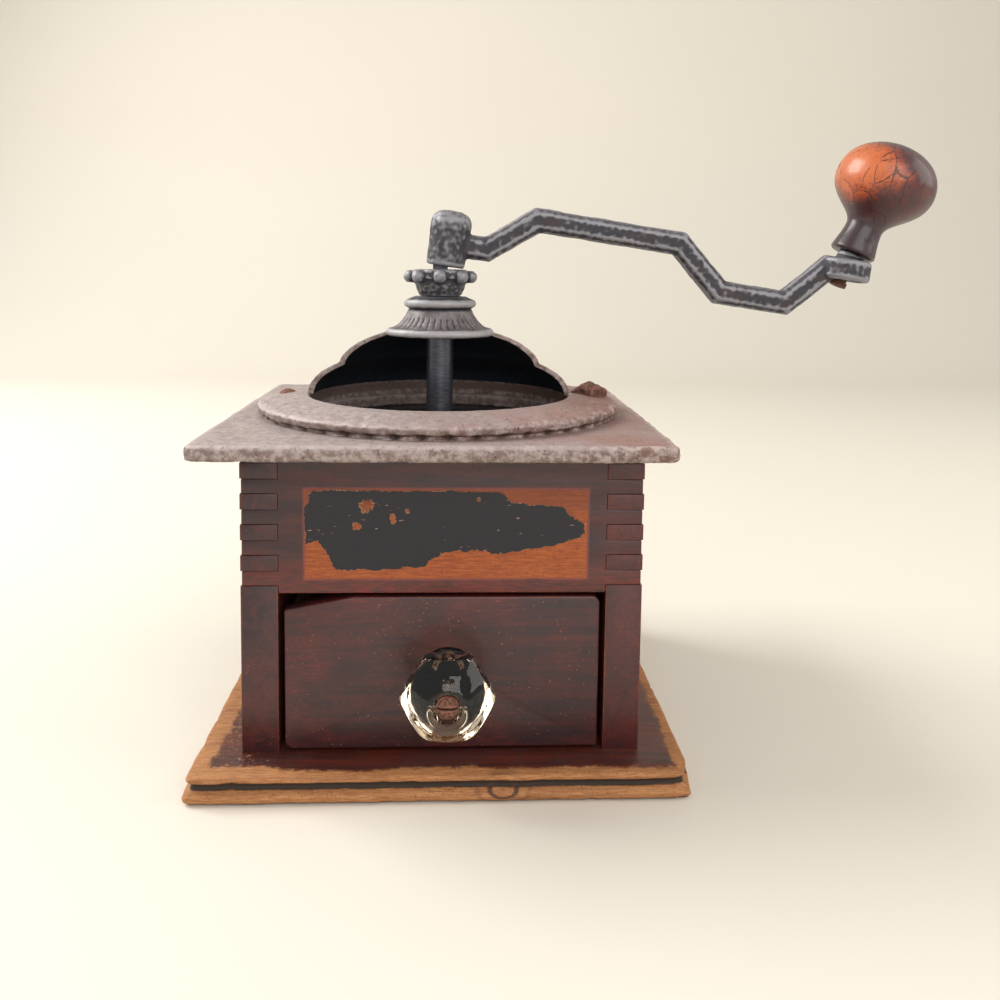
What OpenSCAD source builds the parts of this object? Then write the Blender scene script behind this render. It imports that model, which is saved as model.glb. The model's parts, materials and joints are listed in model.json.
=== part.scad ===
// Lap coffee mill: a finger-jointed wooden box with a drawer, on a moulded base board,
// under a cast iron top with a half-open domed hopper, a burr mill and a cranked handle.
// Millimetres, +Z up, front toward -Y. The origin is the middle of the base board's underside.

/* [Wooden box] */
// Width and depth of the box over its walls
box_w = 139; // [130:1:160]
// Height of the box walls above the base board
box_h = 105.5; // [101:0.5:125]
// Thickness of the box walls
wall_t = 12.7; // [11:0.1:15]
// Height of the rail over the drawer
rail_h = 48.3; // [44:0.1:54]
// Height of one corner finger
finger_h = 5.37; // [4:0.01:8]
// How far the fingers of rail and back stop short of the side walls' faces
finger_short = 0.4; // [0:0.05:0.8]

/* [Base board] */
// How far the base board stands out past the box walls
board_over = 17; // [12:0.5:24]
// Thickness of the base board
board_h = 9.5; // [9:0.1:16]
// Radius of the bead along the board's lower edge
board_bead_r = 2.3; // [1.8:0.1:2.6]
// How far the board's upper lip stands back from its lower bead
board_lip_in = 2; // [1.2:0.1:3]
// Radius of the board's corners
board_corner_r = 3; // [2:0.5:6]
// Shank radius of the wood screws under the base board
base_screw_r = 2; // [1.6:0.1:2.6]
// Length of the wood screws under the base board
base_screw_len = 30; // [22:1:40]

/* [Top plate] */
// How far the cast top plate stands out past the box walls
plate_over = 13; // [9:0.5:18]
// Thickness of the top plate
plate_t = 5.6; // [4.5:0.1:8]
// Radius of the top plate's corners
plate_corner_r = 5; // [3:0.5:9]
// Rounding of the top plate's upper edge
plate_edge_r = 1.6; // [1:0.1:2.2]
// How far the iron top sits off the middle of the box, minus is to the left
top_shift = -3; // [-3:0.5:3]

/* [Hopper casting] */
// How far the hopper's flange reaches past the box walls
flange_over = 4; // [2:0.5:5]
// Height of the flange at the hopper's mouth
flange_h = 7.4; // [6:0.1:10]
// Height of the flange's outer shoulder
flange_side_h = 4.2; // [3.6:0.1:5]
// Distance from the screw circle in to the hopper's mouth
mouth_in = 9.3; // [9.1:0.1:12]
// Number of scallops along the flange's foot
scallops = 48; // [36:2:60]
// Height of the scalloped foot
scallop_h = 1.6; // [1.2:0.1:2.2]
// Wall of the hood
hood_wall = 2.2; // [1.8:0.1:3]
// Radius of the step between the hood's two tiers
tier_r = 41.2; // [37:0.1:44]
// Height of that step above the top plate
tier_z = 18.9; // [17:0.1:21]
// Radius of the lip under the neck
lip_r = 22.1; // [20:0.1:25]
// Height of the lip's underside above the top plate
lip_z = 31; // [28:0.1:35]
// Thickness of the lip
lip_t = 2.8; // [2:0.1:3.4]
// Radius of the neck just under its bead
neck_r = 12.9; // [11:0.1:14]
// Height of the neck's cone from the lip to the bead
neck_cone_h = 8; // [7:0.1:11]
// Radius of the neck's bead
bead_r = 14.9; // [14:0.1:17]
// Height of the bead with the collar above it
bead_h = 5.3; // [4.5:0.1:7]
// Number of flutes around the neck
flutes = 40; // [28:1:44]
// Radius of one flute
flute_r = 0.7; // [0.5:0.05:0.9]

/* [Screws of the iron top] */
// Shank radius of the two wood screws that hold the iron top
top_screw_r = 2.1; // [1.7:0.1:2.3]
// Length of those screws under the flange
top_screw_len = 34; // [26:1:44]
// Head radius of the round-headed screw
round_head_r = 3.3; // [2.9:0.1:4.2]
// Width of the square-headed screw over its flats
square_head_w = 11; // [9:0.1:11.4]
// Height of the square head without its dome
square_head_h = 5.2; // [4:0.1:7]

/* [Grinding shell] */
// Depth of the grinding shell under the top plate
shell_depth = 46.5; // [44:0.5:50]
// Depth of the shell's funnel
funnel_depth = 23; // [18:0.5:25]
// Inner radius at the top of the burr chamber
chamber_r_top = 18.5; // [17:0.1:20]
// Inner radius at the bottom of the burr chamber
chamber_r_low = 22; // [21:0.1:23]
// Wall of the funnel
funnel_wall = 3; // [2.4:0.1:4]
// Wall of the burr chamber outside its teeth
chamber_wall = 3.6; // [3.2:0.1:5]
// Number of teeth inside the chamber
shell_teeth = 24; // [16:1:28]
// Depth of the shell's teeth
shell_tooth_d = 1.3; // [0.8:0.1:1.8]
// Shank radius of the screws that hold the shell
shell_screw_r = 2; // [1.6:0.1:2.4]
// Thickness of the shell's four ears
ear_t = 4; // [3:0.1:5]

/* [Burr and spindle] */
// Radius of the spindle
spindle_r = 5.5; // [4.8:0.1:6]
// Radius of the spindle's screwed length under the crank
thread_r = 4.7; // [4:0.1:4.75]
// Radius of the spindle's lower journal
journal_r = 4.4; // [3.6:0.1:4.7]
// Width of the square spindle end over its flats
square_w = 6; // [5:0.1:6.2]
// Length of the square spindle end
square_len = 12.5; // [10:0.5:13.5]
// Height of the cone burr
burr_h = 28; // [24:0.5:32]
// Radius at the top of the cone burr
burr_r_top = 10.5; // [9:0.1:12]
// Number of coarse lugs on the cone burr
burr_lugs = 6; // [4:1:8]
// Number of fine teeth on the cone burr
burr_teeth = 30; // [20:1:34]
// Depth of the fine teeth
burr_tooth_d = 1.2; // [0.8:0.1:1.6]
// Gap between the two burrs at their lower ends, teeth to teeth
grind_gap = 0.7; // [0.4:0.1:1.5]
// Radius of the pin through burr and spindle
pin_r = 1.5; // [1:0.1:2]
// Thickness of the steady bar under the shell
bar_t = 4; // [3:0.1:5.5]
// Width of the steady bar
bar_w = 13; // [11:0.5:18]

/* [Adjusting nut] */
// Height of the adjusting nut
nut_h = 10.8; // [9:0.1:14]
// Radius of the nut's foot
nut_foot_r = 8.4; // [7.5:0.1:10]
// Radius of the nut under its lobes
nut_body_r = 10.4; // [9.5:0.1:12]
// Radius over the nut's lobes
nut_lobe_r = 15.1; // [13.5:0.1:17]
// Number of lobes
nut_lobes = 8; // [6:1:10]
// Radius of one lobe
lobe_r = 2.6; // [1.8:0.1:2.8]

/* [Crank] */
// Distance from the spindle to the knob's rivet
crank_reach = 165.6; // [145:0.2:190]
// Lean of the crank on the worn square, in degrees
crank_lean = 8.5; // [0:0.5:9]
// Radius of the hub at its foot
hub_foot_r = 7.8; // [7.2:0.1:9]
// Radius of the hub at its shoulder
hub_r = 8.4; // [7.6:0.1:10]
// Height of the hub
hub_h = 22.8; // [21:0.1:27]
// Depth of the bar up and down
arm_d = 9.8; // [8:0.1:11]
// Thickness of the bar front to back
arm_w = 8; // [6:0.1:10]
// Chamfer along the bar's edges
arm_chamfer = 2.2; // [1:0.1:2.6]
// Height of the low stretches of the bar above the hub's foot
arm_low = 9.4; // [8.6:0.1:11]
// Height of the high stretch of the bar above the hub's foot
arm_high = 24.7; // [20:0.1:30]
// Where the bar starts to rise, from the spindle
rise_start = 16; // [13:0.1:20]
// Run of each slope that rises from the hub
rise_run = 18.7; // [16:0.1:24]
// Distance of the bar's second drop from the knob's rivet
drop_start = 71; // [66:0.5:74]
// Run of the bar's drop
drop_run = 19.8; // [16:0.1:24]
// Length of the low stretch near the knob
dip_len = 28; // [22:0.5:32]
// Radius of the eye at the crank's end
eye_r = 10.5; // [8.6:0.1:12]
// Height of the eye
eye_h = 8.6; // [7:0.1:10]
// Radius of the crank's rivet
rivet_r = 2.9; // [2.4:0.1:3.4]
// Lean of the rivet and knob in the crank, in degrees
knob_lean = 15; // [0:1:16]

/* [Crank knob] */
// Height of the turned knob
knob_h = 48.3; // [42:0.1:56]
// Largest radius of the turned knob
knob_r = 20.5; // [17:0.1:24]
// Radius of the knob's foot
knob_foot_r = 9.3; // [8:0.1:10.5]
// Radius of the knob's waist
knob_waist_r = 7.6; // [6.6:0.1:8.6]
// Height of the waist above the knob's foot
knob_waist_h = 11.5; // [9:0.1:14]
// Depth of the rivet's hole in the knob
knob_bore = 34; // [26:1:37]

/* [Drawer] */
// Gap between drawer and box at each side
drawer_side_gap = 1.9; // [1.5:0.1:2.6]
// Gap over the drawer's front
drawer_top_gap = 1.4; // [0.8:0.1:2.4]
// Gap under the drawer's front
drawer_low_gap = 1.1; // [0.6:0.1:2]
// Thickness of the drawer's front
drawer_front_t = 12.7; // [11:0.1:16]
// How far the drawer's front stands back from the box
drawer_setback = 0.4; // [0:0.1:1.5]
// Thickness of the drawer's sides and back
drawer_side_t = 7.5; // [6:0.1:9]
// Height of the drawer's sides and back
drawer_side_h = 46; // [36:0.5:47]
// Thickness of the drawer's bottom
drawer_bottom_t = 3.2; // [2.4:0.1:4]
// Space behind the closed drawer
drawer_back_gap = 2.5; // [1:0.1:5]
// Length of the worn slope on the drawer front's upper left corner
worn_len = 24; // [12:1:32]
// Height of that worn slope
worn_drop = 4.6; // [2:0.1:6]

/* [Glass knob] */
// Width of the six-sided glass knob over its corners
glass_w = 32; // [26:0.5:36]
// How far the glass knob stands out from the drawer
glass_len = 28; // [22:0.5:32]
// How far the glass knob sits right of the drawer's middle
glass_shift = 2; // [0:0.5:4]
// Radius of the glass knob's foot
glass_foot_r = 9.6; // [8:0.1:11]
// Radius of the glass knob's waist
glass_waist_r = 7.2; // [6:0.1:8]
// Shank radius of the bolt through the glass knob
glass_bolt_r = 2; // [1.6:0.1:2.4]
// Head radius of that bolt
bolt_head_r = 3.8; // [3.2:0.1:4.1]

/* [Clearances] */
// Running clearance of a turning fit, on the radius
run_fit = 0.06; // [0.03:0.01:0.1]
// Clearance of a fixed shank in its hole, on the radius
hole_fit = 0.06; // [0.03:0.01:0.15]
// Clearance between faces that turn or slide past each other
slide_gap = 0.3; // [0.2:0.05:0.5]

/* [Hidden] */
$fn = 64;
e = 0.01;

// Heights of the main planes
box_top = board_h + box_h;
plate_top = box_top + plate_t;
opening_h = box_h - rail_h;
rail_z = box_top - rail_h;

// Plan sizes
box_half = box_w / 2;
inner_half = box_half - wall_t;
board_w = box_w + 2 * board_over;
plate_w = box_w + 2 * plate_over;
flange_r = box_half + flange_over;
screw_circle = box_half - wall_t / 2 - 0.65;
mouth_r = screw_circle - mouth_in;
funnel_r = mouth_r - 2.2;

// Heights above the top plate, with minus below it
neck_top = lip_z + lip_t + neck_cone_h + bead_h;
nut_foot = neck_top + slide_gap / 2;
nut_top = nut_foot + nut_h;
hub_rise = (nut_top - neck_top + slide_gap + hub_foot_r * sin(crank_lean))
    / cos(crank_lean);
square_top = nut_top + slide_gap + square_len;
shell_low = -plate_t - shell_depth;
funnel_low = -plate_t - funnel_depth;
burr_low = shell_low + 1;
burr_r_low = chamber_r_low - grind_gap;
ear_circle = (inner_half - 9) * sqrt(2);
lug_circle = chamber_r_low + chamber_wall + 4;

// Crank line, as distance from the spindle and height above the hub's foot
slope_tan = (arm_high - arm_low) / rise_run;
eye_mid = arm_high + 0.6;
arm_path = [
    [0, arm_low],
    [rise_start, arm_low],
    [rise_start + rise_run, arm_high],
    [crank_reach - drop_start, arm_high],
    [crank_reach - drop_start + drop_run, arm_low - 1.8],
    [crank_reach - drop_start + drop_run + dip_len, arm_low - 1.8],
    [crank_reach - 7, eye_mid],
    [crank_reach, eye_mid]];
seat_rise = (slide_gap + knob_foot_r * sin(knob_lean)) / cos(knob_lean);
knob_foot = eye_h / 2 / cos(knob_lean) + seat_rise;

// Drawer
drawer_w = 2 * (inner_half - drawer_side_gap);
drawer_face = -box_half + drawer_setback;
drawer_len = box_w - wall_t - drawer_setback - drawer_back_gap;
drawer_floor = board_h + slide_gap;
front_low = board_h + drawer_low_gap;
front_h = opening_h - drawer_top_gap - drawer_low_gap;
knob_z = front_low + front_h / 2;
rabbet = drawer_front_t * 0.5;
groove_d = drawer_side_t * 0.45;
bottom_z = drawer_floor + 4;

// Points of an arc from a to b that bulges by s to the right of the way from a to b
function arc(a, b, s, n) =
    let (d = b - a, l = norm(d), q = (l * l / 4 + s * s) / (2 * s),
        m = (a + b) / 2, u = [d[1], -d[0]] / l, c = m - u * (q - s),
        w = 2 * asin(min(1, l / 2 / q)))
    [for (i = [0 : n])
        let (t = -w / 2 + w * i / n)
        c + q * (u * cos(t) + d / l * sin(t))];

// Point of a cubic curve
function bez(p, t) =
    pow(1 - t, 3) * p[0] + 3 * pow(1 - t, 2) * t * p[1]
    + 3 * (1 - t) * t * t * p[2] + t * t * t * p[3];
function curve(p, n) = [for (i = [0 : n]) bez(p, i / n)];

// A square slab whose edge has the same outline on all four sides
module edged_slab(half, corner_r, top) {
    intersection() {
        rotate([90, 0, 0])
            linear_extrude(2 * half + 2, center = true) children();
        rotate([90, 0, 90])
            linear_extrude(2 * half + 2, center = true) children();
        linear_extrude(top + 1) round_square(half, corner_r);
    }
}

// A square with true round corners
module round_square(half, r) {
    square([2 * half, 2 * (half - r)], center = true);
    square([2 * (half - r), 2 * half], center = true);
    for (x = [-1, 1], y = [-1, 1])
        translate([x * (half - r), y * (half - r)]) circle(r);
}

// Rows of fingers between two heights, counted from the rail's middle
module finger_rows(z0, z1, size) {
    mid = box_top - rail_h / 2;
    first = floor((z0 - mid) / finger_h / 2) - 1;
    last = ceil((z1 - mid) / finger_h / 2) + 1;
    for (j = [first : last]) {
        low = max(z0, mid + 2 * j * finger_h);
        high = min(z1, mid + (2 * j + 1) * finger_h);
        if (high - low > 0.2)
            translate([-size[0] / 2, -size[1] / 2, low])
                cube([size[0], size[1], high - low]);
    }
}

// Side outline of the moulded base board
module board_outline() {
    half = board_w / 2;
    lip = half - board_lip_in;
    cove = board_lip_in * 0.9;
    bead_z = 2 * board_bead_r;
    difference() {
        union() {
            translate([-lip, 0]) square([2 * lip, board_h]);
            translate([-half + board_bead_r, 0])
                square([2 * half - 2 * board_bead_r, bead_z]);
            for (x = [-1, 1]) {
                translate([x * (half - board_bead_r), board_bead_r])
                    circle(board_bead_r);
                translate([x * (lip - 0.2), board_h - 1.2]) circle(1.2);
            }
        }
        for (x = [-1, 1])
            translate([x * (lip + cove * 0.35), (bead_z + board_h - 2.4) / 2])
                circle(cove * 0.75);
    }
}

module screw_places() {
    for (x = [-1, 1], y = [-1, 1])
        translate([x * (box_half - wall_t / 2), y * box_half * 0.62, 0]) children();
}

module base_board() {
    color("peru")
    difference() {
        edged_slab(board_w / 2, board_corner_r, board_h) board_outline();
        screw_places() {
            translate([0, 0, -1]) cylinder(r = base_screw_r + 0.4, h = board_h + 2);
            translate([0, 0, -e]) cylinder(r1 = base_screw_r * 2.2, r2 = base_screw_r,
                h = base_screw_r * 1.3);
        }
    }
}

module base_screws() {
    color("dimgray")
    screw_places()
        difference() {
            union() {
                translate([0, 0, 0.4])
                    cylinder(r1 = base_screw_r * 2, r2 = base_screw_r,
                        h = base_screw_r * 1.1);
                translate([0, 0, 1])
                    cylinder(r = base_screw_r, h = base_screw_len - 5);
                translate([0, 0, base_screw_len - 4 - e])
                    cylinder(r1 = base_screw_r, r2 = 0.3, h = 4);
            }
            translate([-5, -0.5, 0]) cube([10, 1, 1.2]);
        }
}

// One side wall, drawn for the right side
module side_wall() {
    difference() {
        translate([inner_half, -box_half, board_h]) cube([wall_t, box_w, box_h]);
        translate([box_half - wall_t / 2, -box_half + wall_t / 2, 0])
            finger_rows(rail_z, box_top, [wall_t + e, wall_t + e]);
        translate([box_half - wall_t / 2, box_half - wall_t / 2, 0])
            finger_rows(board_h, box_top, [wall_t + e, wall_t + e]);
        for (y = [-1, 1])
            translate([box_half - wall_t / 2, y * box_half * 0.62, board_h - 1])
                cylinder(r = base_screw_r + hole_fit, h = base_screw_len - board_h + 2);
    }
}

module left_side() {
    color("saddlebrown")
    difference() {
        mirror([1, 0, 0]) side_wall();
        translate([top_shift - screw_circle, 0, box_top - top_screw_len])
            cylinder(r = top_screw_r + hole_fit, h = top_screw_len + 1);
    }
}

module right_side() {
    color("saddlebrown")
    difference() {
        side_wall();
        translate([top_shift + screw_circle, 0, box_top - top_screw_len])
            cylinder(r = top_screw_r + hole_fit, h = top_screw_len + 1);
    }
}

module front_rail() {
    color("sienna") {
        translate([-inner_half, -box_half, rail_z])
            cube([2 * inner_half, wall_t, rail_h]);
        translate([0, -box_half + wall_t / 2, 0])
            finger_rows(rail_z, box_top, [box_w - 2 * finger_short, wall_t]);
    }
}

module back_panel() {
    color("sienna") {
        translate([-inner_half, box_half - wall_t, board_h])
            cube([2 * inner_half, wall_t, box_h]);
        translate([0, box_half - wall_t / 2, 0])
            finger_rows(board_h, box_top, [box_w - 2 * finger_short, wall_t]);
    }
}

module drawer_front() {
    w = drawer_w;
    r = 3;
    color("maroon")
    difference() {
        translate([0, drawer_face + drawer_front_t, front_low])
            rotate([90, 0, 0])
                linear_extrude(drawer_front_t)
                    difference() {
                        union() {
                            translate([-w / 2 + r, 0]) square([w - r, front_h - r]);
                            translate([-w / 2, r]) square([w, front_h - 2 * r]);
                            translate([-w / 2, front_h - r - e])
                                square([w - r, r + e]);
                            translate([-w / 2 + r, r]) circle(r);
                            translate([w / 2 - r, front_h - r]) circle(r);
                        }
                        polygon([[-w / 2 - 1, front_h - worn_drop],
                            [-w / 2, front_h - worn_drop], [-w / 2 + worn_len, front_h],
                            [-w / 2 + worn_len, front_h + 1], [-w / 2 - 1, front_h + 1]]);
                    }
        // Rabbets for the sides
        for (x = [-1, 1])
            translate([x * (w / 2 - drawer_side_t / 2), drawer_face + drawer_front_t,
                    front_low + front_h / 2])
                cube([drawer_side_t, 2 * rabbet, front_h + 8], center = true);
        // Groove for the bottom
        translate([0, drawer_face + drawer_front_t, bottom_z + drawer_bottom_t / 2])
            cube([w - 2 * drawer_side_t + 2 * groove_d, 2 * groove_d, drawer_bottom_t],
                center = true);
        // Hole for the glass knob's bolt
        translate([glass_shift, drawer_face - 1, knob_z]) rotate([-90, 0, 0])
            cylinder(r = glass_bolt_r + hole_fit, h = drawer_front_t + 2);
    }
}

module drawer_side() {
    y0 = drawer_face + drawer_front_t - rabbet;
    difference() {
        translate([drawer_w / 2 - drawer_side_t, y0, drawer_floor])
            cube([drawer_side_t, drawer_face + drawer_len - y0, drawer_side_h]);
        translate([drawer_w / 2 - drawer_side_t - e, y0 - 1, bottom_z])
            cube([groove_d + e, drawer_len + 2, drawer_bottom_t]);
    }
}

module drawer_right() { color("chocolate") drawer_side(); }

module drawer_left() { color("chocolate") mirror([1, 0, 0]) drawer_side(); }

module drawer_back() {
    w = drawer_w - 2 * drawer_side_t;
    color("chocolate")
    difference() {
        translate([-w / 2, drawer_face + drawer_len - drawer_side_t, drawer_floor])
            cube([w, drawer_side_t, drawer_side_h]);
        translate([-w / 2 - 1, drawer_face + drawer_len - drawer_side_t - e, bottom_z])
            cube([w + 2, groove_d + e, drawer_bottom_t]);
    }
}

module drawer_bottom() {
    w = drawer_w - 2 * drawer_side_t + 2 * groove_d;
    y0 = drawer_face + drawer_front_t - groove_d;
    y1 = drawer_face + drawer_len - drawer_side_t + groove_d;
    color("burlywood")
    translate([-w / 2, y0, bottom_z]) cube([w, y1 - y0, drawer_bottom_t]);
}

// Places its children on the glass knob's axis, with +Z out of the drawer
module on_knob() {
    translate([glass_shift, drawer_face, knob_z]) rotate([90, 0, 0]) children();
}

module glass_knob() {
    mid = glass_len * 0.66;
    recess = 3.4;
    color("ivory")
    on_knob()
    difference() {
        union() {
            rotate_extrude()
                polygon(concat([[0, 0], [glass_foot_r, 0], [glass_foot_r, 1.6]],
                    curve([[glass_foot_r - 0.6, 2.6], [glass_waist_r, 3.4],
                        [glass_waist_r, 5], [glass_waist_r + 0.6, mid * 0.5]], 6),
                    [[glass_waist_r + 1, mid * 0.6], [0, mid * 0.6]]));
            intersection() {
                translate([0, 0, mid * 0.42])
                    cylinder(r = glass_w / 2, h = glass_len - mid * 0.42, $fn = 6);
                rotate_extrude()
                    polygon([[0, mid * 0.42], [glass_waist_r + 1.6, mid * 0.42],
                        [glass_w / 2 - 1.6, mid - 1.8], [glass_w / 2, mid - 0.6],
                        [glass_w / 2, mid + 0.8], [glass_w / 2 - 1.2, mid + 2.2],
                        [glass_w * 0.24, glass_len - 0.8], [glass_w * 0.2, glass_len],
                        [0, glass_len]]);
            }
        }
        translate([0, 0, -1]) cylinder(r = glass_bolt_r + hole_fit, h = glass_len + 2);
        translate([0, 0, glass_len - recess])
            cylinder(r = bolt_head_r + 0.9, h = recess + 1);
    }
}

module glass_bolt() {
    recess = 3.4;
    head = 2.6;
    tail = drawer_front_t + 7;
    color("sienna")
    on_knob()
    difference() {
        union() {
            translate([0, 0, -tail])
                cylinder(r = glass_bolt_r, h = tail + glass_len - recess);
            translate([0, 0, glass_len - recess])
                cylinder(r = bolt_head_r, h = head * 0.6);
            translate([0, 0, glass_len - recess + head * 0.6 - e])
                intersection() {
                    cylinder(r = bolt_head_r, h = head);
                    translate([0, 0, head * 0.55 - bolt_head_r * 1.4])
                        sphere(bolt_head_r * 1.4);
                }
        }
        translate([0, 0, glass_len - recess + head * 0.8])
            cube([bolt_head_r * 3, 0.9, head], center = true);
    }
}

module glass_washer() {
    color("dimgray")
    on_knob()
    translate([0, 0, -drawer_front_t - 1.2])
        difference() {
            cylinder(r = glass_bolt_r * 2.6, h = 1.2);
            translate([0, 0, -1]) cylinder(r = glass_bolt_r + hole_fit, h = 4);
        }
}

module glass_nut() {
    color("dimgray")
    on_knob()
    translate([0, 0, -drawer_front_t - 4.6])
        difference() {
            cylinder(r = glass_bolt_r * 2.1, h = 3.4, $fn = 6);
            translate([0, 0, -1]) cylinder(r = glass_bolt_r + hole_fit, h = 6);
        }
}

// Places its children on the spindle's axis at the plate's upper face
module on_top() {
    translate([top_shift, 0, plate_top]) children();
}

module plate_outline() {
    half = plate_w / 2;
    r = plate_edge_r;
    translate([-half + r, 0]) square([2 * (half - r), plate_t]);
    translate([-half, 0.8]) square([2 * half, plate_t - r - 0.8]);
    for (x = [-1, 1]) {
        translate([x * (half - r), plate_t - r]) circle(r);
        translate([x * (half - 0.8 - e), 0.8]) circle(0.8);
    }
}

module shell_screw_places() {
    for (x = [-1, 1], y = [-1, 1])
        translate([x * (ear_circle / sqrt(2) - 2.2), y * (ear_circle / sqrt(2) - 2.2), 0])
            children();
}

module top_plate() {
    color("rosybrown")
    difference() {
        translate([top_shift, 0, box_top])
            edged_slab(plate_w / 2, plate_corner_r, plate_t) plate_outline();
        on_top() {
            translate([0, 0, -plate_t - 1]) cylinder(r = funnel_r, h = plate_t + 2, $fn = 96);
            shell_screw_places()
                translate([0, 0, -plate_t - 1])
                    cylinder(r = shell_screw_r + hole_fit, h = plate_t * 0.75 + 1);
            for (x = [-1, 1])
                translate([x * screw_circle, 0, -plate_t - 1])
                    cylinder(r = top_screw_r + 0.4, h = plate_t + 2);
        }
    }
}

// Flange, as a closed outline in radius and height
function flange_outline() = concat(
    [[mouth_r, 0], [flange_r - 2.4, 0], [flange_r - 2.4, scallop_h],
        [flange_r - 0.5, scallop_h + 0.5], [flange_r, scallop_h + 1.1]],
    arc([flange_r, flange_side_h - 0.9], [flange_r - 1.9, flange_side_h + 0.5], 0.35, 4),
    arc([flange_r - 2.2, flange_side_h + 0.6], [mouth_r + 0.8, flange_h], 0.9, 8),
    [[mouth_r, flange_h - 0.8]]);

// Outer line of the two-tiered hood from its foot to the lip
function hood_line(off) = concat(
    arc([mouth_r + 0.9 - off, flange_h - 0.6],
        [tier_r + 1.2 - off, tier_z - off * 0.7], 1.5, 8),
    arc([tier_r - 0.2 - off, tier_z + 0.5 - off * 0.5],
        [lip_r - off * 0.5, lip_z + lip_t * 0.5 - off], 2.8, 10));

function reversed(v) = [for (i = [len(v) - 1 : -1 : 0]) v[i]];

module neck_body() {
    cone_low = lip_z + lip_t;
    bead_z = cone_low + neck_cone_h + bead_h * 0.48;
    rotate_extrude($fn = 96)
        polygon(concat(
            [[0, lip_z], [lip_r - 0.6, lip_z], [lip_r, lip_z + 0.6],
                [lip_r, cone_low - 0.8], [lip_r - 0.7, cone_low]],
            reversed(arc([neck_r, cone_low + neck_cone_h], [lip_r - 3.4, cone_low],
                1.1, 8)),
            [[neck_r - 0.4, cone_low + neck_cone_h + 0.2]],
            reversed(arc([bead_r - 1.2, bead_z + 1.5], [bead_r - 1.2, bead_z - 1.5],
                1.2, 6)),
            [[neck_r - 1.4, neck_top - 0.7], [neck_r - 2, neck_top], [0, neck_top]]));
}

module hopper_hood() {
    flute_low = [lip_r - 3.4, lip_z + lip_t];
    flute_high = [neck_r, lip_z + lip_t + neck_cone_h];
    run = flute_low - flute_high;
    slope = atan2(run[0], -run[1]);
    color("gray")
    on_top()
    difference() {
        union() {
            rotate_extrude($fn = 96) polygon(flange_outline());
            // Scalloped foot under the flange's side
            for (i = [0 : scallops - 1])
                rotate(i * 360 / scallops)
                    translate([flange_r - 3.1, 0, 0])
                        cylinder(r = 2.4, h = scallop_h + e, $fn = 24);
            // Rear half of the hood
            rotate_extrude(angle = 180, $fn = 96)
                polygon(concat(hood_line(0), reversed(hood_line(hood_wall))));
            neck_body();
        }
        // Bearing and the hollow under the neck
        cylinder(r = spindle_r + run_fit, h = neck_top + 1);
        translate([0, 0, lip_z - e])
            cylinder(r1 = lip_r - 4.5, r2 = spindle_r + 3.4, h = lip_t + 3);
        // Flutes
        for (i = [0 : flutes - 1])
            rotate((i + 0.5) * 360 / flutes)
                translate([flute_low[0] - 0.5, 0, flute_low[1] + 0.9])
                    rotate([0, -slope, 0])
                        cylinder(r = flute_r, h = neck_cone_h * 0.55, $fn = 16);
        // Screw holes
        for (x = [-1, 1])
            translate([x * screw_circle, 0, -1]) {
                cylinder(r = top_screw_r + 0.4, h = flange_h + 2);
            }
        // Flat seats for the two screw heads
        translate([-screw_circle, 0, seat_z])
            cylinder(r = round_head_r + 0.5, h = flange_h);
        translate([screw_circle, 0, seat_z])
            rotate(45) cube([square_head_w + 0.6, square_head_w + 0.6, 2 * flange_h],
                center = true);
    }
}
seat_z = flange_h - 1.6;

module round_screw() {
    color("sienna")
    on_top()
    translate([-screw_circle, 0, seat_z]) {
        difference() {
            intersection() {
                cylinder(r = round_head_r, h = 2.8);
                translate([0, 0, 2.6 - round_head_r * 1.3]) sphere(round_head_r * 1.3);
            }
            translate([-round_head_r * 1.5, -0.5, 1.4])
                cube([round_head_r * 3, 1, 3]);
        }
        wood_shank();
    }
}

// Shank and point of a screw that goes down through flange and plate into the wall
module wood_shank() {
    full = seat_z + plate_t + top_screw_len - 4;
    translate([0, 0, -full + 4]) cylinder(r = top_screw_r, h = full - 4 + e);
    translate([0, 0, -full]) cylinder(r1 = 0.4, r2 = top_screw_r, h = 4 + e);
}

module square_screw() {
    color("brown")
    on_top()
    translate([screw_circle, 0, seat_z + e]) {
        intersection() {
            translate([0, 0, square_head_h]) rotate(45)
                cube([square_head_w, square_head_w, 2 * square_head_h], center = true);
            translate([0, 0, square_head_h + 2 - square_head_w * 1.1])
                sphere(square_head_w * 1.1);
            translate([0, 0, 0]) cylinder(r = square_head_w, h = square_head_h + 3);
        }
        wood_shank();
    }
}

// Three-sided cuts that leave teeth on a cone, leaned by the twist
module shell_cut(teeth, r0, r1, z0, z1, depth, twist) {
    h = z1 - z0;
    lean = atan2(r1 - r0, h);
    for (i = [0 : teeth - 1])
        rotate(i * 360 / teeth)
            translate([r0, 0, z0])
                rotate([twist, 0, 0])
                    rotate([0, lean, 0])
                        translate([0, 0, -2])
                            rotate(180) cylinder(r = depth, h = h / cos(lean) + 4, $fn = 3);
}

// Four ears that reach to the shell's screws
module ear_outline() {
    for (a = [45 : 90 : 315])
        rotate(a) translate([funnel_r - 0.4, -5]) square([ear_reach - funnel_r + 0.4, 10]);
    shell_screw_places() circle(6);
}

// Two lugs for the steady bar
module lug_outline(r_out) {
    for (x = [-1, 1]) {
        translate([x * lug_circle, 0]) circle(5);
        translate([x * (r_out + 0.5) - 3, -4.2]) square([6, 8.4]);
    }
}

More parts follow.
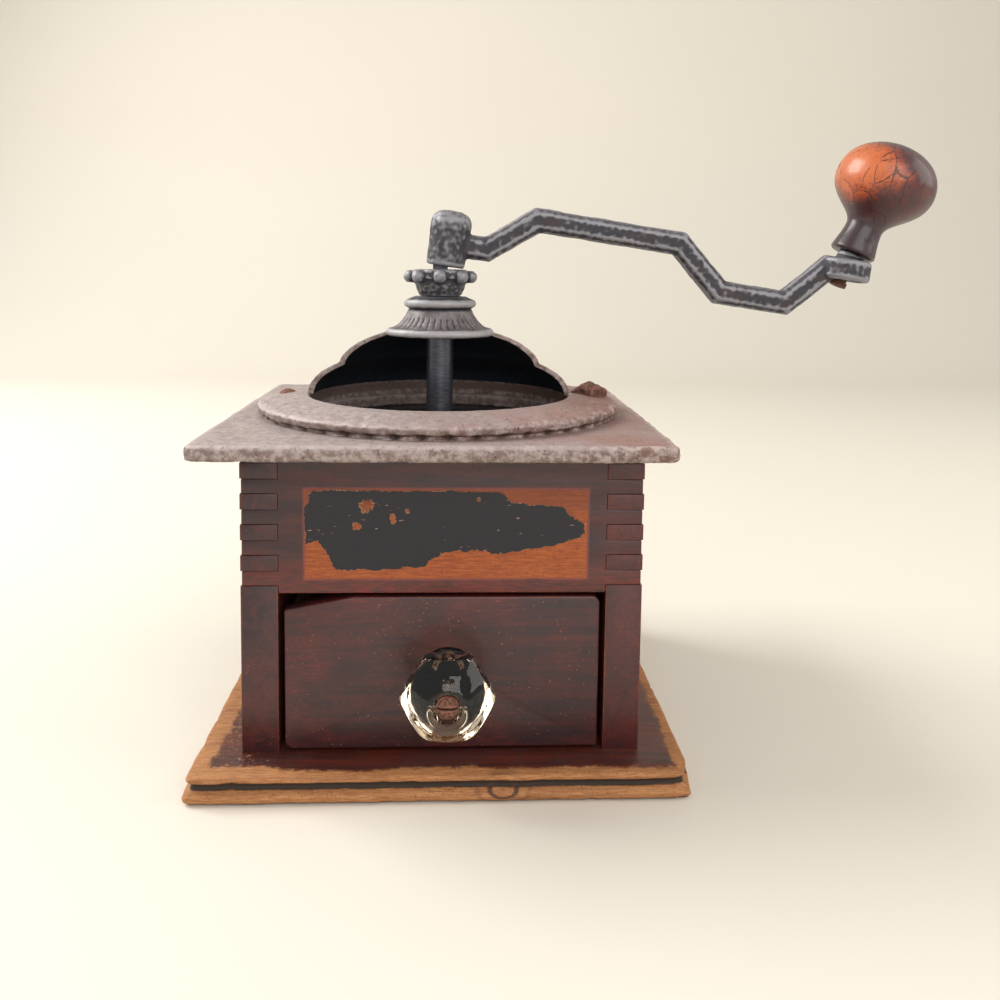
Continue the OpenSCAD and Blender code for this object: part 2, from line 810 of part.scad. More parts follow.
module grinding_shell() {
    r_out = chamber_r_low + chamber_wall;
    color("dimgray")
    on_top()
    difference() {
        union() {
            rotate_extrude($fn = 96)
                polygon([
                    [funnel_r - 0.6, -plate_t - e], [funnel_r + 1, -plate_t - e],
                    [funnel_r + 1, -plate_t - ear_t + 0.5],
                    [chamber_r_top + funnel_wall + 3.6, funnel_low],
                    [r_out, funnel_low - 2], [r_out, shell_low],
                    [chamber_r_low, shell_low], [chamber_r_top, funnel_low],
                    [funnel_r - 0.6, -plate_t - 1.6]]);
            translate([0, 0, -plate_t - ear_t]) linear_extrude(ear_t - e) ear_outline();
            translate([0, 0, shell_low]) linear_extrude(12) lug_outline(r_out);
        }
        translate([0, 0, shell_low - 1])
            cylinder(r = chamber_r_top - 1.5, h = shell_depth);
        shell_cut(shell_teeth, chamber_r_low, chamber_r_top, shell_low, funnel_low,
            shell_tooth_d, 8);
        shell_screw_places()
            translate([0, 0, -plate_t - ear_t - 1])
                cylinder(r = shell_screw_r + hole_fit, h = ear_t + 2);
        for (x = [-1, 1])
            translate([x * lug_circle, 0, shell_low - 1])
                cylinder(r = shell_screw_r + hole_fit, h = 10);
    }
}
ear_reach = ear_circle - 2.2 * sqrt(2);

module pan_screw(len) {
    rotate_extrude()
        polygon([[0, -2.6], [shell_screw_r * 1.3, -2.6], [shell_screw_r * 1.8, -1.8],
            [shell_screw_r * 1.8, 0], [shell_screw_r, 0], [shell_screw_r, len],
            [0, len]]);
}

module slotted(len) {
    difference() {
        pan_screw(len);
        translate([0, 0, -2.6]) cube([shell_screw_r * 6, 0.9, 1.6], center = true);
    }
}

module shell_screws() {
    color("gray")
    on_top()
    shell_screw_places()
        translate([0, 0, -plate_t - ear_t - e]) slotted(ear_t + plate_t * 0.7);
}

module steady_bar() {
    color("dimgray")
    on_top()
    difference() {
        union() {
            translate([-lug_circle, -bar_w / 2 + 1.5, shell_low - bar_t])
                cube([2 * lug_circle, bar_w - 3, bar_t - e]);
            for (x = [-1, 1])
                translate([x * lug_circle, 0, shell_low - bar_t])
                    cylinder(r = bar_w / 2 - 0.5, h = bar_t - e);
            translate([0, 0, shell_low - bar_t - 1.5])
                cylinder(r = bar_w / 2 + 2, h = bar_t + 1);
        }
        translate([0, 0, shell_low - bar_t - 3])
            cylinder(r = journal_r + run_fit, h = bar_t + 6);
        for (x = [-1, 1])
            translate([x * lug_circle, 0, shell_low - bar_t - 1])
                cylinder(r = shell_screw_r + hole_fit, h = bar_t + 2);
    }
}

module bar_screws() {
    color("gray")
    on_top()
    for (x = [-1, 1])
        translate([x * lug_circle, 0, shell_low - bar_t - e]) slotted(bar_t + 8);
}

module spindle() {
    shoulder = nut_foot - 0.6;
    color("slategray")
    on_top()
    difference() {
        union() {
            translate([0, 0, shell_low - bar_t - 1.2])
                cylinder(r = journal_r, h = bar_t + 3);
            translate([0, 0, burr_low - 0.2])
                cylinder(r = spindle_r, h = shoulder - burr_low + 0.2);
            translate([0, 0, shoulder - e])
                cylinder(r = thread_r, h = nut_top + slide_gap / 2 - shoulder);
            intersection() {
                translate([-square_w / 2, -square_w / 2, nut_top - 1])
                    cube([square_w, square_w, square_top - nut_top + 1]);
                translate([0, 0, nut_top - 1])
                    cylinder(r = thread_r - e, h = square_top);
            }
        }
        translate([0, 0, pin_z]) rotate([90, 0, 0])
            cylinder(r = pin_r + hole_fit, h = 40, center = true);
    }
}
pin_z = burr_low + burr_h - 5;

module inner_burr() {
    waist = burr_h * 0.42;
    r_mid = burr_r_low - 2.6;
    mid_lean = atan2(r_mid - burr_r_top, burr_h - waist);
    color("darkslategray")
    on_top()
    translate([0, 0, burr_low])
    difference() {
        rotate_extrude($fn = 96)
            polygon([[spindle_r + hole_fit, 0], [burr_r_low - 1, 0], [burr_r_low, 1],
                [r_mid, waist], [burr_r_top, burr_h - 1.2],
                [burr_r_top - 1.4, burr_h], [spindle_r + hole_fit, burr_h]]);
        // Fine teeth around the lower band
        shell_cut(burr_teeth, burr_r_low + 0.3, r_mid + 0.3, 0, waist,
            burr_tooth_d, -12);
        // Coarse lugs above it
        for (i = [0 : burr_lugs - 1])
            rotate(i * 360 / burr_lugs)
                translate([r_mid + 1.2, 0, waist - 1])
                    rotate([-24, 0, 0])
                        rotate([0, -mid_lean, 0])
                            rotate(180)
                                cylinder(r = 4.2, h = burr_h, $fn = 3);
        translate([0, 0, burr_h - 5]) rotate([90, 0, 0])
            cylinder(r = pin_r + hole_fit, h = 60, center = true);
    }
}

module burr_pin() {
    color("silver")
    on_top()
    translate([0, 0, pin_z]) rotate([90, 0, 0])
        cylinder(r = pin_r, h = 2 * burr_r_top - 1.4, center = true);
}

module adjusting_nut() {
    lobe_z = nut_h - lobe_r - 0.3;
    color("darkslategray")
    on_top()
    translate([0, 0, nut_foot])
    difference() {
        union() {
            rotate_extrude()
                polygon(concat([[0, 0], [nut_foot_r, 0]],
                    arc([nut_foot_r + 0.3, 0.6], [nut_body_r, lobe_z - lobe_r + 1.2],
                        0.5, 6),
                    [[nut_body_r + 1.2, lobe_z - lobe_r + 2], [nut_body_r + 1.2, nut_h - 0.8],
                        [nut_body_r + 0.4, nut_h], [0, nut_h]]));
            for (i = [0 : nut_lobes - 1])
                rotate(i * 360 / nut_lobes) {
                    translate([nut_body_r - 2, 0, lobe_z]) rotate([0, 90, 0])
                        cylinder(r = lobe_r, h = nut_lobe_r - lobe_r - nut_body_r + 2,
                            $fn = 32);
                    translate([nut_lobe_r - lobe_r, 0, lobe_z]) sphere(lobe_r, $fn = 32);
                }
        }
        translate([0, 0, -1]) cylinder(r = thread_r + run_fit, h = nut_h + 2);
    }
}

// The crank's own frame: the foot of the hub at zero, leaning on the worn square
module on_crank() {
    on_top()
        translate([0, 0, neck_top]) rotate([0, crank_lean, 0])
            translate([0, 0, hub_rise]) children();
}

module on_rivet() {
    on_crank()
        translate([crank_reach, 0, eye_mid]) rotate([0, knob_lean, 0]) children();
}

function heading(i) = let (d = arm_path[i + 1] - arm_path[i]) atan2(d[1], d[0]);
function joint_turn(i) = i <= 0 || i >= len(arm_path) - 1 ? 0
    : (heading(i) - heading(i - 1)) / 2;

// The bar's eight-sided section, as front to back and up
function bar_section() =
    let (w = arm_w / 2, d = arm_d / 2, c = min(arm_chamfer, w - 0.6))
    [[-w, -d + c], [-w + c, -d], [w - c, -d], [w, -d + c],
        [w, d - c], [w - c, d], [-w + c, d], [-w, d - c]];

// Where a corner of the section meets the mitre at point k of the line
function bar_corner(k, q) =
    let (last = len(arm_path) - 1,
        lean = (heading(max(k - 1, 0)) + heading(min(k, last - 1))) / 2,
        rise = q[1] / cos(joint_turn(k)))
    [arm_path[k][0] - rise * sin(lean), q[0], arm_path[k][1] + rise * cos(lean)];

// The whole bar, mitred at its bends
module bar() {
    ring = bar_section();
    last = len(arm_path) - 1;
    polyhedron(
        points = [for (k = [0 : last], q = ring) bar_corner(k, q)],
        faces = concat([[for (j = [0 : 7]) j]], [[for (j = [7 : -1 : 0]) 8 * last + j]],
            [for (k = [0 : last - 1], j = [0 : 7])
                let (a = 8 * k + j, b = 8 * k + (j + 1) % 8) [a, a + 8, b + 8, b]]));
}

module crank_arm() {
    top_r = hub_r - 2.4;
    color("darkslategray")
    difference() {
        union() {
            on_crank() {
                rotate_extrude()
                    polygon(concat([[0, 0], [hub_foot_r - 0.5, 0], [hub_foot_r, 0.5],
                            [hub_r, hub_h - 6]],
                        curve([[hub_r, hub_h - 5.5], [hub_r, hub_h - 2],
                            [top_r, hub_h - 0.6], [top_r - 2.5, hub_h - 0.2]], 6),
                        [[0, hub_h]]));
                bar();
                translate([crank_reach, 0, eye_mid - eye_h / 2])
                    eye_disc();
            }
            // Collar that carries the knob
            on_rivet() cylinder(r = rivet_r + 2.4, h = knob_foot - slide_gap);
        }
        // Square socket, cut true to the spindle
        on_top() translate([0, 0, nut_top])
            translate([-square_w / 2 - 0.15, -square_w / 2 - 0.15, -2])
                cube([square_w + 0.3, square_w + 0.3, slide_gap + square_len + 2.5]);
        on_rivet() translate([0, 0, -eye_h])
            cylinder(r = rivet_r + hole_fit, h = 2 * eye_h);
    }
}

module eye_disc() {
    rotate_extrude()
        polygon([[0, 0], [eye_r - 1, 0], [eye_r, 1], [eye_r, eye_h - 1],
            [eye_r - 1, eye_h], [0, eye_h]]);
}

module knob_rivet() {
    head_top = -eye_h / 2 / cos(knob_lean) - (rivet_r + 0.6) * tan(knob_lean);
    color("dimgray")
    on_rivet()
    union() {
        translate([0, 0, head_top - 0.1]) cylinder(r = rivet_r,
            h = knob_foot + knob_bore - 1 - head_top + 0.1);
        translate([0, 0, head_top - 1.8]) cylinder(r = rivet_r + 0.6, h = 1.8);
    }
}

module crank_knob() {
    belly = knob_h * 0.67;
    color("firebrick")
    on_rivet()
    translate([0, 0, knob_foot])
    difference() {
        rotate_extrude($fn = 96)
            polygon(concat([[0, 0], [knob_foot_r - 0.3, 0], [knob_foot_r, 0.5]],
                curve([[knob_foot_r, 1.2], [knob_foot_r - 1, knob_waist_h * 0.45],
                    [knob_waist_r, knob_waist_h * 0.6], [knob_waist_r, knob_waist_h]], 8),
                curve([[knob_waist_r + 0.02, knob_waist_h + 0.3],
                    [knob_waist_r + 0.3, knob_waist_h + 6],
                    [knob_r, belly - knob_h * 0.24], [knob_r, belly]], 12),
                curve([[knob_r - 0.02, belly + 0.3], [knob_r, belly + knob_h * 0.2],
                    [knob_r * 0.56, knob_h], [0, knob_h]], 12)));
        translate([0, 0, -1]) cylinder(r = rivet_r + run_fit, h = knob_bore + 1);
    }
}

base_board();
left_side();
right_side();
front_rail();
back_panel();
base_screws();
top_plate();
hopper_hood();
round_screw();
square_screw();
grinding_shell();
shell_screws();
steady_bar();
bar_screws();
spindle();
inner_burr();
burr_pin();
adjusting_nut();
crank_arm();
knob_rivet();
crank_knob();
drawer_front();
drawer_left();
drawer_right();
drawer_back();
drawer_bottom();
glass_knob();
glass_bolt();
glass_washer();
glass_nut();
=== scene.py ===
import json
import math

import bmesh
import bpy
import numpy as np
from bpy.props import FloatProperty, FloatVectorProperty, IntProperty, PointerProperty
from bpy.types import Operator, Panel, PropertyGroup
from mathutils import Matrix, Vector, noise
from mathutils.geometry import interpolate_bezier


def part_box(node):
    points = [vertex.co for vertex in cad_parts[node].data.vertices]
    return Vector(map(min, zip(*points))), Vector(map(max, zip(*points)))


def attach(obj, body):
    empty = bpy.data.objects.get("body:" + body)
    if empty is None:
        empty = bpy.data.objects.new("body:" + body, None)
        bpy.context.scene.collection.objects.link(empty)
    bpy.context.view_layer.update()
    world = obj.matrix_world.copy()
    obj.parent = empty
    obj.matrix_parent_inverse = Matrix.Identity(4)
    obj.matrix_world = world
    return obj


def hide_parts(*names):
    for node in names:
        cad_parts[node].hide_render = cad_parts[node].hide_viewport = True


bl_info = {
    "name": "Lap coffee mill",
    "version": (1, 0, 0),
    "blender": (4, 5, 0),
    "location": "View3D > Sidebar > Mill",
    "description": "Dresses the frame of an old box coffee mill",
    "category": "Object",
}

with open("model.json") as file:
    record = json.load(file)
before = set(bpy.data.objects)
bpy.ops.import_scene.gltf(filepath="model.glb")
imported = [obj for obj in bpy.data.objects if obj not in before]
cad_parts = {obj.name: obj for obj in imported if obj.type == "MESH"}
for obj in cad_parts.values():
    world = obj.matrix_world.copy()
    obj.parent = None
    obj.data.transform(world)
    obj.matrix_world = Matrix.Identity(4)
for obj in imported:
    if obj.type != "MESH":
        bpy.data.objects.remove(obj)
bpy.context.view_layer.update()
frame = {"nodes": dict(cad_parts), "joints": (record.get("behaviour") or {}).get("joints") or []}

MM = 0.001
JOINTS = {joint["name"]: joint for joint in frame["joints"]}
SHAFT = Vector(JOINTS["crank_turn"]["pos_m"]) / MM
RIVET = Vector(JOINTS["knob_spin"]["pos_m"]) / MM
RIVET_AXIS = Vector(JOINTS["knob_spin"]["axis"])


def limits(node):
    """Lowest and highest corner of a CAD node, in millimetres."""
    low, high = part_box(node)
    return low / MM, high / MM


def srgb(red, green, blue):
    """A colour as a screen shows it, from 0 to 255, as Blender's linear values."""
    return tuple(((c / 255 + 0.055) / 1.055) ** 2.4 if c > 10 else c / 3294.6
                 for c in (red, green, blue))


BOARD_LOW, BOARD_HIGH = limits("base_board")
PLATE_LOW, PLATE_HIGH = limits("top_plate")
RAIL_LOW, RAIL_HIGH = limits("front_rail")
PLATE_TOP = PLATE_HIGH.z
HOPPER_R = (limits("hopper_hood")[1].x - limits("hopper_hood")[0].x) / 2
# Seat of the two top screws' heads on the flange
HEAD_SEAT = PLATE_TOP + 5.8
# Lower left and upper right corner of the label's place on the rail
LABEL_LOW = (-47.8, 71.7)
LABEL_HIGH = (50.1, 103.5)

# The photograph's camera, fitted to the edges of box, board and plate
FOCAL_LENGTH = 0.91841  # in widths of the frame
FRAME_SHIFT = -0.14964  # in widths of the frame
CAMERA_PLACE = (3.83, -380.33, 178.25)
CAMERA_YAW = -2.73
CAMERA_PITCH = -4.92
CAMERA_ROLL = -0.74
SENSOR = 36


class MillSizes(PropertyGroup):
    """Sizes of the mill's surface detail."""

    wood_round: FloatProperty(
        name="Worn wood edge", description="Rounding of the wooden edges, in millimetres",
        default=0.55, min=0.1, max=1.5)
    casting_grain: FloatProperty(
        name="Casting grain", description="Depth of the rust on the iron top, in millimetres",
        default=0.2, min=0, max=0.6)
    crank_grain: FloatProperty(
        name="Crank grain", description="Depth of the unevenness of the crank, in millimetres",
        default=0.13, min=0, max=0.5)
    flute_depth: FloatProperty(
        name="Flute depth", description="Depth of the flutes round the neck, in millimetres",
        default=0.5, min=0, max=1)
    flutes: IntProperty(
        name="Flutes", description="Number of flutes round the neck", default=40, min=12, max=60)
    scallops: IntProperty(
        name="Scallops", description="Number of scallops under the hopper's rim",
        default=48, min=12, max=90)
    film_thickness: FloatProperty(
        name="Paper film", description="Thickness of the paper left on the rail, in millimetres",
        default=0.16, min=0.05, max=0.4)


def colour(name, description, *screen):
    """A colour that a user can change, with its default as a screen shows it."""
    return FloatVectorProperty(name=name, description=description, subtype="COLOR",
                               default=srgb(*screen))


class MillColours(PropertyGroup):
    """Colours of the mill's finishes."""

    varnish: colour("Varnish", "Dark varnish of the box", 66, 25, 24)
    varnish_dark: colour("Darkened varnish", "Varnish blackened by age", 38, 20, 25)
    varnish_red: colour("Thin varnish", "Varnish where it is thin", 112, 34, 18)
    bare_wood: colour("Bare wood", "Wood without its varnish", 176, 104, 52)
    board_wood: colour("Worn board", "Worn edge of the base board", 186, 132, 82)
    iron_dust: colour("Dusty iron", "Pale dusty face of the iron top", 178, 164, 160)
    iron_rust: colour("Thin rust", "Thin brown rust of the iron top", 126, 92, 82)
    iron_black: colour("Black iron", "Blue-black iron of crank and nut", 44, 47, 56)
    iron_worn: colour("Worn iron", "Grey iron on worn edges", 150, 150, 156)
    rust: colour("Heavy rust", "Red-brown rust of the screws", 104, 62, 48)
    # Painted shade: the near-black inside of the hopper
    hollow_shade: colour("Hopper inside", "Dark inside of the hopper", 14, 24, 34)
    knob_stain: colour("Knob stain", "Dark stain of the crank's knob", 58, 30, 34)
    # Orange of the knob's worn side, which also stands for painted light on that side
    knob_worn_and_lit: colour("Knob wood", "Orange wood where hands wore the knob", 168, 76, 38)
    glass: colour("Glass", "Tint of the glass knob", 255, 236, 206)
    floor: colour("Floor", "Colour of floor and backdrop", 226, 220, 208)


class Value:
    """A socket or number of one finish; sums on it add Math nodes."""

    def __init__(self, finish, source):
        self.finish = finish
        self.source = source

    def sum(self, operation, *others):
        return self.finish.node("Math", {"operation": operation},
                                dict(enumerate((self,) + others)))

    def __add__(self, other):
        return self.sum("ADD", other)

    __radd__ = __add__

    def __sub__(self, other):
        return self.sum("SUBTRACT", other)

    def __rsub__(self, other):
        return Value(self.finish, other).sum("SUBTRACT", self)

    def __mul__(self, other):
        return self.sum("MULTIPLY", other)

    __rmul__ = __mul__

    def __abs__(self):
        return self.sum("ABSOLUTE")

    def least(self, other):
        return self.sum("MINIMUM", other)

    def most(self, other):
        return self.sum("MAXIMUM", other)

    def rise(self, low, high):
        """0 below low, 1 above high and smooth between; with low over high it falls."""
        return self.finish.node(
            "MapRange", {"interpolation_type": "SMOOTHSTEP"},
            {"Value": self, "From Min": min(low, high), "From Max": max(low, high),
             "To Min": float(low > high), "To Max": float(low <= high)})


class Finish:
    """One material of the mill, built from nodes; patterns are in millimetres."""

    def __init__(self, name, **constants):
        self.material = bpy.data.materials.new(name)
        self.material.use_nodes = True
        self.tree = self.material.node_tree
        self.shader = next(n for n in self.tree.nodes if n.type == "BSDF_PRINCIPLED")
        for key, value in constants.items():
            self.shader.inputs[key.replace("_", " ").title().replace("Ior", "IOR")
                               ].default_value = value
        self.position = self.node("TexCoord", out="Object")
        self.place = self.turned()

    def feed(self, socket, value):
        if isinstance(value, Value):
            value = value.source
        if isinstance(value, bpy.types.NodeSocket):
            self.tree.links.new(value, socket)
        elif socket.type == "RGBA" and len(value) == 3:
            socket.default_value = (*value, 1)
        else:
            socket.default_value = value

    def node(self, kind, settings=None, sockets=None, out=0):
        """Adds a node, sets it up, feeds its sockets and returns one of its outputs."""
        made = self.tree.nodes.new("ShaderNode" + kind)
        for key, value in (settings or {}).items():
            setattr(made, key, value)
        for key, value in (sockets or {}).items():
            self.feed(made.inputs[key], value)
        return Value(self, made.outputs[out])

    def turned(self, centre=(0, 0, 0), turn=(0, 0, 0), stretch=(1, 1, 1)):
        """Millimetres from a centre, turned and then stretched along the axes."""
        moved = self.node("Mapping", None, {
            "Vector": self.position, "Location": tuple(-c for c in centre),
            "Scale": (1 / MM,) * 3})
        if any(turn):
            moved = self.node("Mapping", None, {"Vector": moved, "Rotation": turn})
        if stretch != (1, 1, 1):
            moved = self.node("Mapping", None, {"Vector": moved, "Scale": stretch})
        return moved

    def axes(self, vector):
        made = self.node("SeparateXYZ", None, {0: vector}).source.node
        return [Value(self, output) for output in made.outputs]

    def cloud(self, scale, detail=3.0, rough=0.55, at=None, swirl=0.0):
        """Soft noise between 0 and 1, with so many lumps to the millimetre."""
        return self.node("TexNoise", None, {
            "Vector": at or self.place, "Scale": scale, "Detail": detail,
            "Roughness": rough, "Distortion": swirl})

    def cells(self, scale, feature="F1", at=None):
        return self.node("TexVoronoi", {"feature": feature},
                         {"Vector": at or self.place, "Scale": scale})

    def mix(self, mask, first, second):
        """The first colour where the mask is 0, the second where it is 1."""
        return self.node("Mix", {"data_type": "RGBA"}, {0: mask, 6: first, 7: second}, 2)

    def attribute(self, name):
        return self.node("Attribute", {"attribute_name": name}, None, "Fac")

    def done(self, colour, roughness, height, metallic=None, coat=None):
        """Feeds the shader; the height is in millimetres."""
        self.feed(self.shader.inputs["Base Color"], colour)
        self.feed(self.shader.inputs["Roughness"], roughness)
        if metallic is not None:
            self.feed(self.shader.inputs["Metallic"], metallic)
        if coat is not None:
            self.feed(self.shader.inputs["Coat Weight"], coat)
        if height is not None:
            self.feed(self.shader.inputs["Normal"], self.node(
                "Bump", None, {"Strength": 1.0, "Distance": MM, "Height": height}))
        return self.material


# Finishes

def wood_grain(finish, along, at=None):
    """Broad figure, fine fibres and dark pores of wood that runs along an axis."""
    stretch = tuple(0.07 if axis == along else 1 for axis in "XYZ")
    flow = finish.turned(stretch=stretch)
    broad = finish.cloud(0.22, 4, 0.6, flow, 1.2)
    fibre = finish.cloud(2.6, 3, 0.6, flow, 0.4)
    pores = finish.cloud(5.5, 2, 0.5, flow).rise(0.6, 0.74)
    return broad, fibre, pores


def edge_gap(finish, low, high):
    """Distance from a box's nearest edge, for points on its faces."""
    gaps = []
    for value, a, b in zip(finish.axes(finish.place), low, high):
        gaps.append((value - a).least(b - value))
    x, y, z = gaps
    return x.least(y).most(x.most(y).least(z))


def varnished(name, along, box, chips=0.0, redder_and_warm_light=0.0):
    """Old dark red varnish on wood, worn through along the edges."""
    colours = bpy.context.scene.mill_colours
    finish = Finish(name, coat_roughness=0.25)
    broad, fibre, pores = wood_grain(finish, along)
    patch = finish.cloud(0.05, 3, 0.6)
    fine = finish.cloud(0.9, 4, 0.7)
    wood = finish.mix(broad.rise(0.35, 0.7), colours.varnish_dark, colours.varnish)
    # Thin red varnish shows in patches, and more of it everywhere by the given extra share; on the
    # right side that extra red is painted warm light.
    red = (patch.rise(0.42, 0.72) * 0.6 + redder_and_warm_light).least(1)
    wood = finish.mix(red * fibre.rise(0.3, 0.75), wood, colours.varnish_red)
    wood = finish.mix(pores * 0.6, wood, srgb(20, 10, 13))
    gap = edge_gap(finish, *box)
    ragged = fine * 1.5 + patch * 1.6
    worn = (gap + ragged).rise(2.1, 1.2)
    wood = finish.mix(worn * 0.75, wood, srgb(134, 66, 38))
    bare = (gap * 1.4 + ragged).rise(1.5, 1.1)
    wood = finish.mix(bare * fibre.rise(0.3, 0.6) * 0.8, wood, colours.bare_wood)
    grime = finish.cloud(0.35, 5, 0.75)
    wood = finish.mix(grime.rise(0.55, 0.72) * 0.55, wood, srgb(24, 14, 18))
    height = fibre * 0.02 - pores * 0.03 - worn * 0.05 + fine * 0.03
    if chips:
        flake = finish.cells(0.55) + finish.cloud(1.2, 3) * 0.55
        where = finish.cloud(0.06, 2).rise(0.5, 0.62)
        chip = flake.rise(0.44, 0.36) * where * chips
        wood = finish.mix(chip, wood, srgb(140, 84, 62))
        height = height - chip * 0.12
        scratch = finish.cloud(
            1.6, 1, 0.5, finish.turned(turn=(0, 0.45, 0.5), stretch=(0.04, 1, 1)))
        line = scratch.rise(0.735, 0.76) * chips
        wood = finish.mix(line * 0.7, wood, srgb(150, 96, 72))
        height = height - line * 0.04
    rough = 0.34 + grime * 0.22 + worn * 0.25
    return finish.done(wood, rough, height, coat=(1 - worn) * 0.3)


def raw_wood(name, along, tone):
    """Bare softwood, darkened by age and coffee."""
    finish = Finish(name)
    broad, fibre, pores = wood_grain(finish, along)
    wood = finish.mix(broad.rise(0.3, 0.7), tone, tuple(c * 0.55 for c in tone))
    wood = finish.mix(fibre.rise(0.35, 0.75) * 0.5, wood, tuple(c * 0.4 for c in tone))
    stain = finish.cloud(0.07, 4, 0.6).rise(0.5, 0.75)
    wood = finish.mix(stain * 0.6, wood, srgb(58, 38, 28))
    return finish.done(wood, 0.62 + fibre * 0.2, fibre * 0.06 - pores * 0.05)


def board_finish():
    """Varnish on the board's flat, bare wood with dark residue along its mouldings."""
    colours = bpy.context.scene.mill_colours
    finish = Finish("worn_board")
    broad, fibre, pores = wood_grain(finish, "X")
    x, y, z = finish.axes(finish.place)
    patch = finish.cloud(0.045, 4, 0.65)
    fine = finish.cloud(0.6, 5, 0.75)
    speck = finish.cloud(1.6, 3, 0.7)
    edge = (BOARD_HIGH.x - abs(x)).least(BOARD_HIGH.x - abs(y))
    varnish = finish.mix(broad.rise(0.3, 0.7), srgb(58, 26, 22), srgb(98, 38, 22))
    varnish = finish.mix(patch.rise(0.45, 0.6) * fine.rise(0.4, 0.6) * 0.7, varnish,
                         srgb(66, 52, 52))
    bare = finish.mix(fibre.rise(0.3, 0.75), colours.board_wood, srgb(146, 90, 50))
    bare = finish.mix(broad.rise(0.45, 0.75) * 0.6, bare, srgb(120, 70, 38))
    bare = finish.mix(speck.rise(0.56, 0.68) * 0.7, bare, srgb(64, 40, 28))
    # Worn patches: all along the edge, more of them at the left and by the front corners
    left = x.rise(-40, -84) * 0.5
    reach = patch * 9 + fine * 5 + left * 7 - 1.5
    worn = (edge - reach).rise(1.2, -0.8).most(
        (fine + left * 0.55 + patch * 0.5).rise(1.0, 1.12) * z.rise(8.6, 9.2))
    wood = finish.mix(worn * fine.rise(0.22, 0.36), varnish, bare)
    cove = (abs(z - 5.9)).rise(1.9, 0.6)
    residue = (cove * 0.85 + fine * 0.5 - 0.35).rise(0.15, 0.55)
    wood = finish.mix(residue, wood, srgb(44, 32, 22))
    foot = z.rise(1.3, 0.2)
    wood = finish.mix(foot * 0.75, wood, srgb(40, 24, 18))
    # Knot in the moulding
    knot = finish.node("VectorMath", {"operation": "DISTANCE"}, {
        0: finish.turned(stretch=(0.55, 0.4, 1)), 1: (11.5, -34.6, 4.6)}, 1)
    rings = (knot * 2.6 + fine * 2.2).sum("SINE")
    near = knot.rise(6.5, 2.5)
    wood = finish.mix(near * rings.rise(-0.2, 0.9) * 0.85, wood, srgb(62, 38, 26))
    height = fibre * 0.08 + fine * 0.12 - residue * 0.1 + speck * 0.05
    rough = 0.42 + worn * 0.3
    return finish.done(wood, rough, height)


def rail_finish(box):
    """The rail's varnish, with bare wood where the label's paper has come away."""
    colours = bpy.context.scene.mill_colours
    finish = Finish("rail_varnish", coat_roughness=0.25)
    broad, fibre, pores = wood_grain(finish, "X")
    x, y, z = finish.axes(finish.place)
    patch = finish.cloud(0.05, 3, 0.6)
    fine = finish.cloud(0.9, 4, 0.7)
    wood = finish.mix(broad.rise(0.35, 0.7), colours.varnish_dark, colours.varnish)
    # The thin red varnish shows more towards the bottom of the rail: painted warm light, on top of
    # real thin patches.
    low = z.rise(84, 68)
    wood = finish.mix((low * 0.75 + patch.rise(0.45, 0.7) * 0.3) * fibre.rise(0.25, 0.7),
                      wood, colours.varnish_red)
    wood = finish.mix(pores * 0.6, wood, srgb(20, 10, 13))
    left, bottom = LABEL_LOW
    right, top = LABEL_HIGH
    inside = ((x - left).least(right - x)).least((z - bottom).least(top - z))
    ghost = (inside + fine * 0.5).rise(0.1, 0.7) * y.rise(-60, -68)
    paper = finish.mix(fibre.rise(0.3, 0.7), srgb(168, 88, 38), srgb(132, 62, 28))
    paper = finish.mix((z.rise(90, 100)) * 0.55, paper, srgb(96, 48, 34))
    paper = finish.mix(fine.rise(0.5, 0.66) * 0.5, paper, srgb(104, 52, 28))
    wood = finish.mix(ghost, wood, paper)
    line = abs(inside + (fine - 0.5) * 0.3).rise(0.75, 0.2) * patch.rise(0.38, 0.5)
    wood = finish.mix(line * 0.5 * y.rise(-60, -68), wood, srgb(130, 60, 48))
    gap = edge_gap(finish, *box)
    worn = (gap + fine * 1.5 + patch * 1.6).rise(2.1, 1.2)
    wood = finish.mix(worn * 0.75, wood, srgb(140, 66, 36))
    grime = finish.cloud(0.35, 5, 0.75)
    wood = finish.mix(grime.rise(0.56, 0.72) * 0.5 * (1 - ghost), wood, srgb(24, 14, 18))
    height = fibre * 0.02 - pores * 0.03 - worn * 0.05 + fine * 0.03 - ghost * 0.03
    rough = 0.34 + grime * 0.22 + worn * 0.2 + ghost * 0.25
    return finish.done(wood, rough, height, coat=(1 - worn.most(ghost)) * 0.3)


def film_finish():
    """Blackened paper, with pale broken edges."""
    finish = Finish("paper_film")
    fine = finish.cloud(1.2, 4, 0.7)
    crease = finish.cloud(1.1, 2, 0.5, finish.turned(turn=(0, 0.08, 0), stretch=(0.12, 1, 1)))
    black = finish.mix(fine.rise(0.35, 0.7), srgb(22, 24, 32), srgb(38, 32, 34))
    line = crease.rise(0.685, 0.71) * finish.cloud(0.5, 2).rise(0.5, 0.6)
    black = finish.mix(line, black, srgb(150, 116, 98))
    worn = finish.attribute("worn")
    black = finish.mix((worn * fine.rise(0.3, 0.6)).rise(0.3, 0.8) * 0.75, black,
                       srgb(164, 118, 82))
    return finish.done(black, 0.55 + fine * 0.25, fine * 0.08 + line * 0.05)


